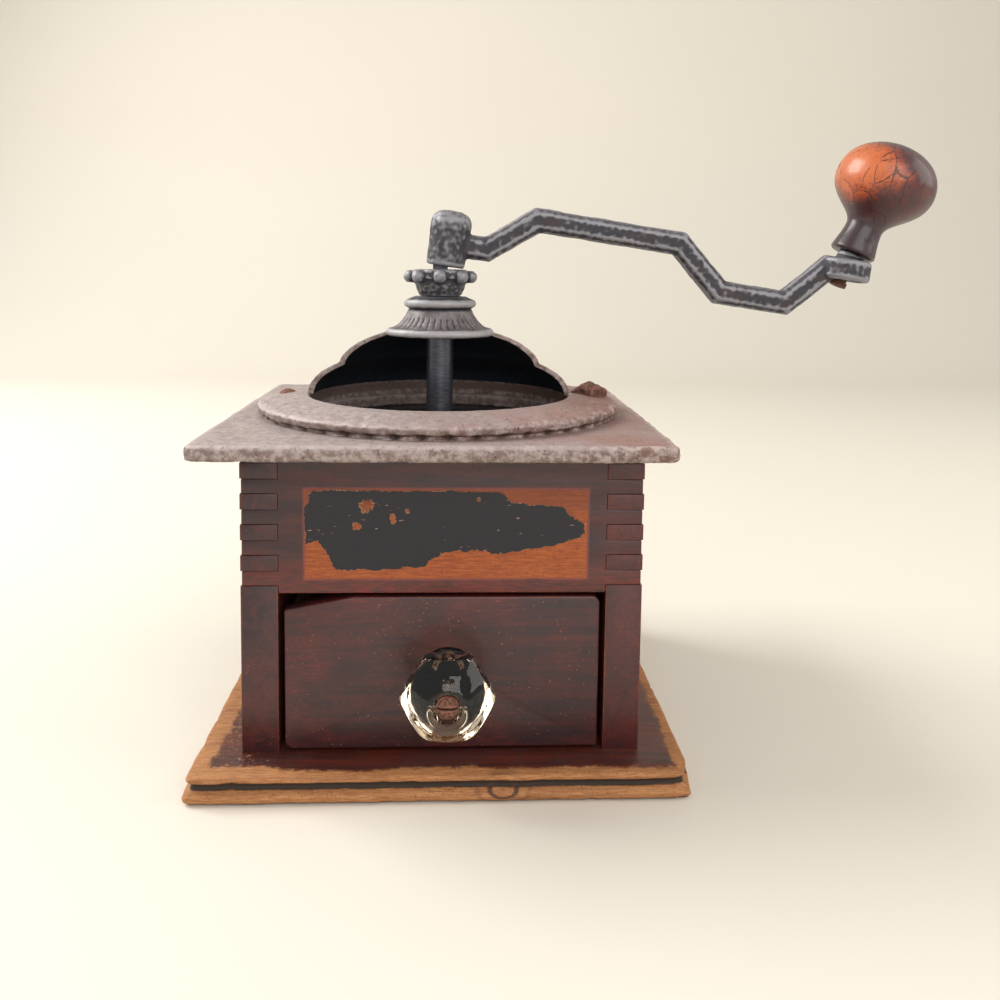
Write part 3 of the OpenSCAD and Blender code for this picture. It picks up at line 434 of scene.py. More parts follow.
def dusty_iron(name, rust=0.0):
    """Rough cast iron under thin pinkish rust and dust."""
    colours = bpy.context.scene.mill_colours
    finish = Finish(name, specular_ior_level=0.6)
    x, y, z = finish.axes(finish.place)
    upward = finish.attribute("up")
    patch = finish.cloud(0.035, 4, 0.6)
    mottle = finish.cloud(0.32, 5, 0.7)
    grit = finish.cloud(2.1, 4, 0.75)
    pit = finish.cells(0.95).rise(0.34, 0.12) * finish.cloud(0.4, 3).rise(0.48, 0.62)
    worn = finish.attribute("worn")
    rusty = (patch * 0.9 + x.rise(-40, 80) * 0.45 + rust - 0.35).rise(0.1, 0.8)
    metal_skin = finish.mix(mottle.rise(0.35, 0.65), colours.iron_dust, srgb(150, 138, 136))
    red = finish.mix(mottle.rise(0.4, 0.62), colours.iron_rust, srgb(150, 112, 104))
    iron = finish.mix(rusty, metal_skin, red)
    iron = finish.mix(grit.rise(0.56, 0.7) * 0.55, iron, srgb(92, 70, 64))
    iron = finish.mix(grit.rise(0.42, 0.3) * 0.5, iron, srgb(206, 196, 192))
    # Painted shade: faces that don't face up, such as the front edges, turn dark brown.
    iron = finish.mix(upward.rise(0.75, 0.2) * 0.72, iron, srgb(96, 70, 58))
    iron = finish.mix(pit * 0.85, iron, srgb(62, 42, 38))
    iron = finish.mix(worn.rise(0.55, 0.9) * mottle.rise(0.4, 0.6) * 0.5, iron,
                      srgb(204, 192, 188))
    iron = finish.mix(worn.rise(0.42, 0.15) * 0.7, iron, srgb(58, 42, 38))
    height = grit * 0.16 + mottle * 0.16 - pit * 0.3
    rough = 0.5 + mottle * 0.2 + rusty * 0.1
    return finish.done(iron, rough, height, metallic=0.35 * (1 - rusty) + 0.02)


def black_iron(name):
    """Blue-black cast iron, greyer where it is worn."""
    colours = bpy.context.scene.mill_colours
    finish = Finish(name, specular_ior_level=0.55)
    upward = finish.attribute("up")
    mottle = finish.cloud(0.3, 5, 0.7)
    grit = finish.cloud(1.7, 4, 0.7)
    worn = finish.attribute("worn")
    iron = finish.mix(mottle.rise(0.35, 0.68), colours.iron_black, srgb(62, 58, 62))
    iron = finish.mix(finish.cloud(0.12, 3).rise(0.5, 0.7) * 0.5, iron, srgb(70, 50, 46))
    edge = (worn + mottle * 0.3 - 0.15).rise(0.55, 0.85)
    iron = finish.mix(edge * 0.8, iron, colours.iron_worn)
    dust = upward.rise(0.35, 0.95) * grit.rise(0.3, 0.6) * 0.55
    iron = finish.mix(dust, iron, srgb(146, 140, 142))
    iron = finish.mix(grit.rise(0.6, 0.72) * 0.6, iron, srgb(24, 24, 28))
    height = grit * 0.14 + mottle * 0.2
    rough = 0.52 + mottle * 0.18 - edge * 0.12
    return finish.done(iron, rough, height, metallic=0.25 + edge * 0.3)


def neck_iron():
    """Grey, rubbed iron of the hopper's neck."""
    finish = Finish("neck_iron", specular_ior_level=0.6)
    z = finish.axes(finish.place)[2] - PLATE_TOP
    mottle = finish.cloud(0.3, 5, 0.7)
    grit = finish.cloud(1.9, 4, 0.7)
    worn = finish.attribute("worn")
    iron = finish.mix(mottle.rise(0.3, 0.7), srgb(132, 128, 130), srgb(96, 88, 88))
    iron = finish.mix(z.rise(40.5, 43) * 0.8, iron, srgb(54, 58, 64))
    iron = finish.mix(grit.rise(0.56, 0.7) * 0.5, iron, srgb(66, 54, 52))
    iron = finish.mix(worn.rise(0.55, 0.85) * 0.6, iron, srgb(186, 184, 186))
    iron = finish.mix(worn.rise(0.42, 0.2) * 0.8, iron, srgb(40, 40, 46))
    height = grit * 0.12 + mottle * 0.12
    return finish.done(iron, 0.46 + mottle * 0.2, height, metallic=0.45)


def hollow_iron(name, colour):
    """Dark iron in the mill's hollows; inside the hopper its colour is painted shade."""
    finish = Finish(name)
    mottle = finish.cloud(0.25, 4, 0.7)
    grit = finish.cloud(1.6, 3, 0.7)
    iron = finish.mix(mottle.rise(0.3, 0.75), colour, tuple(c * 1.8 for c in colour))
    iron = finish.mix(grit.rise(0.6, 0.75) * 0.4, iron, srgb(66, 48, 42))
    return finish.done(iron, 0.55 + mottle * 0.2, grit * 0.12 + mottle * 0.15, metallic=0.2)


def plain_steel(name, tone, rust=0.3):
    """Dull turned steel with a little rust."""
    finish = Finish(name)
    mottle = finish.cloud(0.3, 4, 0.7)
    turning = finish.cloud(3.0, 2, 0.5, finish.turned(stretch=(0.1, 0.1, 1)))
    steel = finish.mix(turning.rise(0.3, 0.7), tone, tuple(c * 0.6 for c in tone))
    stain = (mottle + rust - 0.3).rise(0.45, 0.75)
    steel = finish.mix(stain * 0.8, steel, srgb(92, 62, 50))
    return finish.done(steel, 0.36 + stain * 0.35, turning * 0.03 + mottle * 0.05,
                       metallic=0.8 - stain * 0.6)


def heavy_rust(name, lighter=0.0):
    """Thick, flaking red-brown rust."""
    colours = bpy.context.scene.mill_colours
    finish = Finish(name)
    flake = finish.cloud(0.6, 5, 0.75)
    grit = finish.cloud(2.2, 4, 0.75)
    worn = finish.attribute("worn")
    rust = finish.mix(flake.rise(0.35, 0.65), colours.rust, srgb(70, 44, 38))
    rust = finish.mix(grit.rise(0.55, 0.7) * 0.6, rust, srgb(44, 28, 26))
    rust = finish.mix((worn.rise(0.5, 0.85) * 0.6 + lighter).least(1) * grit.rise(0.3, 0.6),
                      rust, srgb(158, 112, 92))
    return finish.done(rust, 0.8, flake * 0.3 + grit * 0.2, metallic=0.05)


def knob_finish(centre, axis):
    """Turned wood, stained dark and worn to orange on the palm's side, with painted light on that
    side, painted shade on its lower part and a painted highlight on its top.
    """
    colours = bpy.context.scene.mill_colours
    finish = Finish("turned_knob", coat_roughness=0.16)
    lean = math.atan2(axis.x, axis.z)
    up = Matrix.Rotation(-lean, 3, "Y")
    local = finish.turned(centre=tuple(up @ centre))
    # The Mapping node turns before it moves, so one node does both
    node = local.source.node
    node.inputs["Rotation"].default_value = (0, -lean, 0)
    x, y, z = finish.axes(local)
    flow = finish.node("Mapping", None, {"Vector": local, "Scale": (1, 1, 0.12)})
    fibre = finish.cloud(1.5, 4, 0.65, flow, 0.6)
    mottle = finish.cloud(0.13, 5, 0.7, local)
    fine = finish.cloud(0.9, 4, 0.7, local)
    wood = finish.mix(mottle.rise(0.35, 0.65), colours.knob_stain, srgb(88, 34, 28))
    # Painted shade: the knob darkens towards its foot.
    wood = finish.mix(z.rise(22, 12) * 0.75, wood, srgb(34, 28, 36))
    # Orange on the left side: wood worn through the stain, and painted light from that side; the
    # brighter orange at its far edge is a painted highlight.
    side = (x * -1 + y * -0.35 + (mottle - 0.5) * 17 - abs(z - 33) * 0.5)
    wood = finish.mix(side.rise(3.5, 13) * fine.rise(0.25, 0.55) * 0.95, wood,
                      colours.knob_worn_and_lit)
    wood = finish.mix((side + fine * 8).rise(13, 22) * 0.75, wood, srgb(204, 110, 60))
    wood = finish.mix(fibre.rise(0.55, 0.75) * 0.45, wood, srgb(40, 18, 18))
    # Painted highlight: a grey sheen on the knob's top.
    cap = (z + fine * 5).rise(43, 48)
    wood = finish.mix(cap * 0.6, wood, srgb(70, 60, 66))
    crack = finish.cells(0.16, "DISTANCE_TO_EDGE", finish.node(
        "Mapping", None, {"Vector": local, "Scale": (1, 1, 0.35)}))
    split = (crack + fine * 0.05).rise(0.052, 0.034) * mottle.rise(0.47, 0.55)
    wood = finish.mix(split * 0.85, wood, srgb(20, 10, 12))
    height = fibre * 0.03 + fine * 0.05 + mottle * 0.2 - split * 0.25
    rough = 0.3 + fine * 0.2
    return finish.done(wood, rough, height, coat=0.45 - fine * 0.3)


def glass_finish():
    """Clear pressed glass, a little warm and scuffed."""
    finish = Finish("pressed_glass", transmission_weight=1.0, ior=1.5)
    ripple = finish.cloud(0.12, 2, 0.5)
    scuff = finish.cloud(1.8, 4, 0.7).rise(0.6, 0.75)
    colours = bpy.context.scene.mill_colours
    return finish.done(finish.mix(scuff * 0.3, colours.glass, srgb(240, 214, 180)),
                       0.02 + scuff * 0.05, ripple * 0.35)


# Shapes

def cad_copy(node):
    """The CAD node's shape in millimetres, with its loose triangles joined."""
    shape = bmesh.new()
    shape.from_mesh(frame["nodes"][node].data)
    bmesh.ops.scale(shape, vec=(1 / MM,) * 3, verts=shape.verts)
    bmesh.ops.remove_doubles(shape, verts=shape.verts, dist=0.002)
    return shape


def put(shape, name, body, material, nodes=(), sharp=35, worn=0):
    """Makes a piece from a shape in millimetres, and sets it on its body."""
    bmesh.ops.scale(shape, vec=(MM,) * 3, verts=shape.verts)
    mesh = bpy.data.meshes.new(name)
    shape.to_mesh(mesh)
    shape.free()
    mesh.polygons.foreach_set("use_smooth", [True] * len(mesh.polygons))
    mesh.set_sharp_from_angle(angle=math.radians(sharp))
    if worn:
        mark_worn(mesh, worn)
    for one in material if isinstance(material, list) else [material]:
        mesh.materials.append(one)
    piece = bpy.data.objects.new(name, mesh)
    bpy.context.scene.collection.objects.link(piece)
    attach(piece, body)
    if nodes:
        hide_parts(*nodes)
    return piece


def mark_worn(mesh, reach):
    """Stores how far each vertex stands out, 1 on crests, 0.5 on flats and 0 in hollows,
    and how far it faces up, from -1 to 1."""
    count = len(mesh.vertices)
    places = np.empty(count * 3)
    mesh.vertices.foreach_get("co", places)
    places = places.reshape(-1, 3) / MM
    normals = np.empty(count * 3)
    mesh.vertices.foreach_get("normal", normals)
    normals = normals.reshape(-1, 3)
    ends = np.empty(len(mesh.edges) * 2, dtype=int)
    mesh.edges.foreach_get("vertices", ends)
    ends = ends.reshape(-1, 2)
    number = np.bincount(ends.ravel(), minlength=count).astype(float)[:, None]
    number[number == 0] = 1

    def around(values):
        total = np.zeros_like(values)
        for column in range(values.shape[1]):
            for a, b in ((0, 1), (1, 0)):
                total[:, column] += np.bincount(
                    ends[:, a], values[ends[:, b], column], minlength=count)
        return total / number

    soft = places
    for _ in range(reach):
        soft = around(soft)
    rise = ((places - soft) * normals).sum(1)[:, None]
    for _ in range(max(1, reach // 3)):
        rise = around(rise)
    spread = np.percentile(np.abs(rise), 92) + 1e-6
    for name, values in (("worn", np.clip(0.5 + 0.5 * rise[:, 0] / spread, 0, 1)),
                         ("up", normals[:, 2])):
        layer = mesh.attributes.new(name, "FLOAT", "POINT")
        layer.data.foreach_set("value", np.ascontiguousarray(values))


def remeshed(shape, voxel):
    """The same shape in even faces, with its corners a little melted."""
    mesh = bpy.data.meshes.new("melt")
    shape.to_mesh(mesh)
    shape.free()
    holder = bpy.data.objects.new("melt", mesh)
    bpy.context.scene.collection.objects.link(holder)
    modifier = holder.modifiers.new("melt", "REMESH")
    modifier.mode = "VOXEL"
    modifier.voxel_size = voxel
    graph = bpy.context.evaluated_depsgraph_get()
    made = bpy.data.meshes.new_from_object(holder.evaluated_get(graph))
    melted = bmesh.new()
    melted.from_mesh(made)
    bpy.data.objects.remove(holder)
    bpy.data.meshes.remove(mesh)
    bpy.data.meshes.remove(made)
    return melted


def soften(shape, times):
    for _ in range(times):
        bmesh.ops.smooth_vert(shape, verts=shape.verts, factor=0.5,
                              use_axis_x=True, use_axis_y=True, use_axis_z=True)


def roughen(shape, *layers, share=None):
    """Moves vertices along their normals by noise; a layer is a size and a depth.
    The share is a function from a place to how much of the depth it gets."""
    shape.normal_update()
    moves = []
    for v in shape.verts:
        push = 0
        for number, (size, depth) in enumerate(layers):
            push += depth * noise.noise(v.co / size + Vector((7.3 * number, 3.1, 1.7)))
        if share:
            push *= share(v.co)
        moves.append(v.normal * push)
    for v, move in zip(shape.verts, moves):
        v.co += move


def dice(shape, step, axes):
    """Cuts every face along evenly spaced planes."""
    places = [v.co.copy() for v in shape.verts]
    for axis in axes:
        low = min(p[axis] for p in places)
        high = max(p[axis] for p in places)
        count = max(1, round((high - low) / step))
        normal = Vector((0, 0, 0))
        normal[axis] = 1
        for i in range(1, count):
            at = Vector((0, 0, 0))
            at[axis] = low + (high - low) * i / count
            bmesh.ops.bisect_plane(
                shape, geom=shape.verts[:] + shape.edges[:] + shape.faces[:],
                dist=0.0001, plane_co=at, plane_no=normal)


def chain(shape, points, step, closed=True):
    """Edges along a profile of radius and height, no longer than the step."""
    verts = []
    last = len(points) if closed else len(points) - 1
    for i in range(last):
        a = Vector(points[i])
        b = Vector(points[(i + 1) % len(points)])
        count = max(1, math.ceil((b - a).length / step))
        for k in range(count):
            p = a.lerp(b, k / count)
            verts.append(shape.verts.new((p.x, 0, p.y)))
    if not closed:
        verts.append(shape.verts.new((points[-1][0], 0, points[-1][1])))
    for a, b in zip(verts, verts[1:]):
        shape.edges.new((a, b))
    if closed:
        shape.edges.new((verts[-1], verts[0]))
    return verts


def turn(points, steps, step, angle=360, closed=True):
    """Spins a profile about the upright axis; a half turn gets flat ends."""
    shape = bmesh.new()
    chain(shape, points, step, closed)
    bmesh.ops.spin(shape, geom=shape.verts[:] + shape.edges[:], cent=(0, 0, 0),
                   axis=(0, 0, 1), angle=math.radians(angle), steps=steps,
                   use_merge=angle == 360)
    bmesh.ops.remove_doubles(shape, verts=shape.verts, dist=0.001)
    if angle != 360:
        rim = [e for e in shape.edges if e.is_boundary]
        bmesh.ops.holes_fill(shape, edges=rim, sides=0)
    bmesh.ops.recalc_face_normals(shape, faces=shape.faces)
    return shape


def bend(a, b, c, d, count=8):
    """Points of a soft curve from a to d."""
    points = interpolate_bezier(*(Vector((*p, 0)) for p in (a, b, c, d)), count)
    return [(p.x, p.y) for p in points]


def pull(vertex, radius):
    """Moves a vertex to a radius from the upright axis."""
    vertex.co.xy *= radius / vertex.co.xy.length


def set_down(shape, centre, axis=Vector((0, 0, 1))):
    """Moves an upright shape to its centre, along its axis."""
    turned = Vector((0, 0, 1)).rotation_difference(axis).to_matrix()
    bmesh.ops.rotate(shape, verts=shape.verts, matrix=turned)
    bmesh.ops.translate(shape, verts=shape.verts, vec=centre)
    return shape


def rounded_copy(node, width, segments=2):
    """A CAD node with its flat faces joined and its edges rounded."""
    shape = cad_copy(node)
    bmesh.ops.dissolve_limit(shape, angle_limit=math.radians(0.5), verts=shape.verts,
                             edges=shape.edges, use_dissolve_boundaries=False)
    edges = [e for e in shape.edges
             if e.is_manifold and e.calc_face_angle(0) > math.radians(40)]
    bmesh.ops.bevel(shape, geom=edges, offset=width, offset_type="OFFSET",
                    segments=segments, profile=0.5, affect="EDGES", material=-1,
                    clamp_overlap=True)
    return shape


def dress(node, material):
    """Gives a CAD node that keeps its shape a finish."""
    piece = frame["nodes"][node]
    piece.data.materials.clear()
    piece.data.materials.append(material)


class MillStage(Operator):
    """Sets up camera, floor, backdrop and lamps"""

    bl_idname = "mill.stage"
    bl_label = "Stage"

    def execute(self, context):
        self.camera()
        self.floor()
        self.lamps()
        context.scene.view_settings.view_transform = "Standard"
        return {"FINISHED"}

    def camera(self):
        data = bpy.data.cameras.new("photo_camera")
        data.sensor_width = SENSOR
        data.lens = SENSOR * FOCAL_LENGTH
        data.shift_y = FRAME_SHIFT
        data.clip_start = 0.01
        data.clip_end = 20
        camera = bpy.data.objects.new("photo_camera", data)
        bpy.context.scene.collection.objects.link(camera)
        look = (Matrix.Rotation(math.radians(CAMERA_YAW), 3, "Z")
                @ Matrix.Rotation(math.radians(CAMERA_PITCH), 3, "X")
                @ Matrix.Rotation(math.radians(CAMERA_ROLL), 3, "Y"))
        right, ahead, up = look.col
        pose = Matrix((right, up, -ahead)).transposed().to_4x4()
        pose.translation = Vector(CAMERA_PLACE) * MM
        camera.matrix_world = pose
        bpy.context.scene.camera = camera

    def floor(self):
        shape = bmesh.new()
        bmesh.ops.create_grid(shape, x_segments=1, y_segments=1, size=2.4)
        far = [e for e in shape.edges if all(v.co.y > 2 for v in e.verts)]
        for v in far[0].verts:
            v.co.y = 1.1
        bmesh.ops.spin(shape, geom=far + far[0].verts[:], cent=(0, 1.1, 0.5),
                       axis=(1, 0, 0), angle=math.radians(90), steps=24)
        top = max(v.co.z for v in shape.verts)
        rim = [e for e in shape.edges if all(v.co.z > top - 0.001 for v in e.verts)]
        made = bmesh.ops.extrude_edge_only(shape, edges=rim)
        bmesh.ops.translate(shape, vec=(0, 0, 2.2), verts=[
            v for v in made["geom"] if isinstance(v, bmesh.types.BMVert)])
        bmesh.ops.recalc_face_normals(shape, faces=shape.faces)
        mesh = bpy.data.meshes.new("floor")
        shape.to_mesh(mesh)
        shape.free()
        mesh.polygons.foreach_set("use_smooth", [True] * len(mesh.polygons))
        finish = Finish("floor_paper")
        tint = finish.cloud(0.004, 2)
        colours = bpy.context.scene.mill_colours
        mesh.materials.append(finish.done(
            finish.mix(tint, tuple(c * 0.97 for c in colours.floor), colours.floor),
            0.6, None))
        floor = bpy.data.objects.new("floor", mesh)
        bpy.context.scene.collection.objects.link(floor)

    def lamps(self):
        for name, place, size, power, tint in (
                ("window", (-1.15, 0.35, 1.05), 0.9, 26, (1, 0.98, 0.95)),
                ("front_fill", (0.35, -1.5, 0.9), 1.4, 16, (1, 0.97, 0.94)),
                ("right_fill", (1.3, -0.2, 0.7), 1.0, 6, (1, 0.93, 0.86))):
            data = bpy.data.lights.new(name, "AREA")
            data.size = size
            data.energy = power
            data.color = tint
            lamp = bpy.data.objects.new(name, data)
            bpy.context.scene.collection.objects.link(lamp)
            lamp.location = place
            aim = Vector((0.02, 0, 0.1)) - Vector(place)
            lamp.rotation_euler = aim.to_track_quat("-Z", "Y").to_euler()
        world = bpy.data.worlds.new("studio")
        bpy.context.scene.world = world
        world.use_nodes = True
        backdrop = next(n for n in world.node_tree.nodes if n.type == "BACKGROUND")
        backdrop.inputs["Color"].default_value = (1, 0.985, 0.96, 1)
        backdrop.inputs["Strength"].default_value = 0.55


class MillBoard(Operator):
    """Makes the moulded base board with its worn edge"""

    bl_idname = "mill.board"
    bl_label = "Base board"

    def execute(self, context):
        half = BOARD_HIGH.x
        top = BOARD_HIGH.z
        rings = [(-1.15, 0.3), (-0.3, 1.15), (0, 2.3), (-0.3, 3.4), (-0.95, 4.15),
                 (-1.8, 4.6), (-2.45, 5.1), (-2.65, 5.75), (-2.4, 6.4), (-1.8, 6.95),
                 (-1.25, 7.5), (-1.05, 8.2), (-1.25, 8.9), (-1.85, 9.35), (-2.9, 9.5)]
        shape = bmesh.new()
        bmesh.ops.create_grid(shape, x_segments=1, y_segments=1, size=half - 2.3)
        bmesh.ops.bevel(shape, geom=shape.verts[:], offset=2.4, offset_type="OFFSET",
                        segments=5, profile=0.5, affect="VERTICES", material=-1)
        size = half - 2.3
        height = 0.0
        bottom = shape.faces[:]
        cap = bmesh.ops.duplicate(shape, geom=bottom)["geom"]
        cap = [g for g in cap if isinstance(g, bmesh.types.BMFace)]
        for side, z in rings:
            z = z * top / 9.5
            made = bmesh.ops.extrude_face_region(shape, geom=cap)["geom"]
            bmesh.ops.delete(shape, geom=cap, context="FACES_ONLY")
            verts = [g for g in made if isinstance(g, bmesh.types.BMVert)]
            cap = [g for g in made if isinstance(g, bmesh.types.BMFace)]
            factor = (half + side) / size
            bmesh.ops.scale(shape, vec=(factor, factor, 1), verts=verts)
            bmesh.ops.translate(shape, vec=(0, 0, z - height), verts=verts)
            size = half + side
            height = z
        bmesh.ops.remove_doubles(shape, verts=shape.verts, dist=0.0005)
        bmesh.ops.recalc_face_normals(shape, faces=shape.faces)
        dice(shape, 2.4, (0, 1))
        shape.normal_update()
        chip = Vector((half + 1, -half + 2, 7))
        for v in shape.verts:
            if v.co.z < 0.2:
                continue
            outer = half - max(abs(v.co.x), abs(v.co.y))
            rim = max(0, 1 - max(0, outer - 2.5) / 4)
            dent = 0.5 + 0.5 * noise.fractal(v.co / 11, 0.8, 2, 3)
            nick = max(0, noise.noise(v.co / 4.2 + Vector((9, 2, 5))) - 0.35) * 1.7
            push = rim * (0.5 * dent + nick) + 0.05 * noise.noise(v.co / 15)
            corner = max(0, 1 - (v.co - chip).length / 9)
            push += corner * (2.2 + 1.2 * noise.noise(v.co / 2.5))
            v.co -= v.normal * min(push, 2.6)
            v.co.z = max(v.co.z, 0.02)
        put(shape, "board", "mill", board_finish(), ["base_board"], 50)
        return {"FINISHED"}


class MillBox(Operator):
    """Makes the finger-jointed walls and the rail"""

    bl_idname = "mill.box"
    bl_label = "Box"

    def execute(self, context):
        width = context.scene.mill_sizes.wood_round
        # Each wall's last number adds red; the right side's extra red is painted warm light.
        for node, along, red in (("left_side", "Y", 0.0), ("right_side", "Y", 0.35),
                                 ("back_panel", "X", 0.1)):
            finish = varnished(node + "_varnish", along, limits(node), 0.35, red)
            put(rounded_copy(node, width), node + "_wood", "mill", finish,
                [node], 40)
        finish = rail_finish(limits("front_rail"))
        put(rounded_copy("front_rail", width), "rail_wood", "mill", finish,
            ["front_rail"], 40)
        return {"FINISHED"}


class MillLabel(Operator):
    """Makes the torn black film that is left of a blank paper label"""

    bl_idname = "mill.label"
    bl_label = "Paper remains"

    def execute(self, context):
        thick = context.scene.mill_sizes.film_thickness
        outline = [(-47.4, 84), (-47.6, 96), (-46.2, 101.6), (-43.5, 102.9), (-30, 103.1),
                   (-16, 102.7), (-2, 103.0), (14, 102.8), (19.5, 102.4), (22.5, 99.6),
                   (28, 98.0), (36, 97.6), (41.5, 97.2), (43.2, 94.8), (46.5, 92.6),
                   (49.2, 91.4), (49.3, 88.2), (45.5, 86.2), (42, 84.6), (37, 83.2),
                   (31, 82.6), (24, 81.4), (19, 80.6), (15.5, 81.6), (11.5, 82.0),
                   (7.5, 81.0), (4.5, 81.8), (-1, 80.9), (-3.5, 79.2), (-6, 76.4),
                   (-13, 75.6), (-20, 75.2), (-28, 75.0), (-37.4, 75.4), (-38.8, 78.4),
                   (-40.6, 82.2), (-43.4, 85.4), (-46, 84.2)]
        shape = bmesh.new()
        front = RAIL_LOW.y
        verts = [shape.verts.new((x, front, z)) for x, z in outline]
        shape.faces.new(verts)
        bmesh.ops.subdivide_edges(shape, edges=shape.edges[:], cuts=5)
        for v in shape.verts:
            place = Vector((v.co.x, 0, v.co.z))
            v.co.x += 0.55 * noise.noise(place / 1.1) + 0.8 * noise.noise(place / 3.7)
            v.co.z += (0.45 * noise.noise(place / 1.1 + Vector((5, 5, 5)))
                       + 0.7 * noise.noise(place / 3.7 + Vector((5, 5, 5))))
            v.co.x = min(max(v.co.x, LABEL_LOW[0]), LABEL_HIGH[0])
            v.co.z = min(max(v.co.z, LABEL_LOW[1]), LABEL_HIGH[1])
        bmesh.ops.triangulate(shape, faces=shape.faces[:])
        dice(shape, 1.0, (0, 2))
        # Small flakes that have come away
        for x, z, size in ((-26.2, 97.6, 2.0), (-17.6, 93.2, 1.1), (-29.6, 90.3, 0.9),
                           (-12.5, 95.8, 0.6), (12, 100, 0.5)):
            gone = [f for f in shape.faces
                    if (f.calc_center_median() - Vector((x, front, z))).length
                    < size * (1 + 0.5 * noise.noise(f.calc_center_median() / 0.9))]
            bmesh.ops.delete(shape, geom=gone, context="FACES")
        bmesh.ops.recalc_face_normals(shape, faces=shape.faces)
        layer = shape.verts.layers.float.new("worn")
        for v in shape.verts:
            v[layer] = float(v.is_boundary)
        made = bmesh.ops.extrude_face_region(shape, geom=shape.faces[:])["geom"]
        lifted = [g for g in made if isinstance(g, bmesh.types.BMVert)]
        for v in lifted:
            curl = 0.5 + 0.5 * noise.noise(v.co / 6)
            v.co.y = front - thick * (0.7 + 0.6 * curl)
        bmesh.ops.recalc_face_normals(shape, faces=shape.faces)
        put(shape, "paper_film", "mill", film_finish(), (), 30)
        return {"FINISHED"}


class MillPlate(Operator):
    """Makes the rough cast top plate"""

    bl_idname = "mill.plate"
    bl_label = "Top plate"

    def execute(self, context):
        grain = context.scene.mill_sizes.casting_grain
        shape = remeshed(cad_copy("top_plate"), 0.95)
        soften(shape, 1)

        def share(place):
            side = max(abs(place.x - SHAFT.x), abs(place.y)) - (PLATE_HIGH.x - SHAFT.x)
            return 0.35 + 1.1 * max(0, 1 + side / 7)

        roughen(shape, (1.6, grain), (4.5, grain * 1.1), (17, grain), share=share)
        for v in shape.verts:
            # A crack runs across the front edge near the left corner
            if v.co.y < -PLATE_HIGH.y + 2.6:
                line = -76.6 + (v.co.z - PLATE_LOW.z) * 0.36
                gap = abs(v.co.x - line)
                v.co.y += max(0, 0.7 - gap) * 0.8
            v.co.z = min(max(v.co.z, PLATE_LOW.z + 0.02), PLATE_TOP + 0.12)
        put(shape, "plate", "mill", dusty_iron("plate_iron"),
            ["top_plate"], 60, 5)
        return {"FINISHED"}


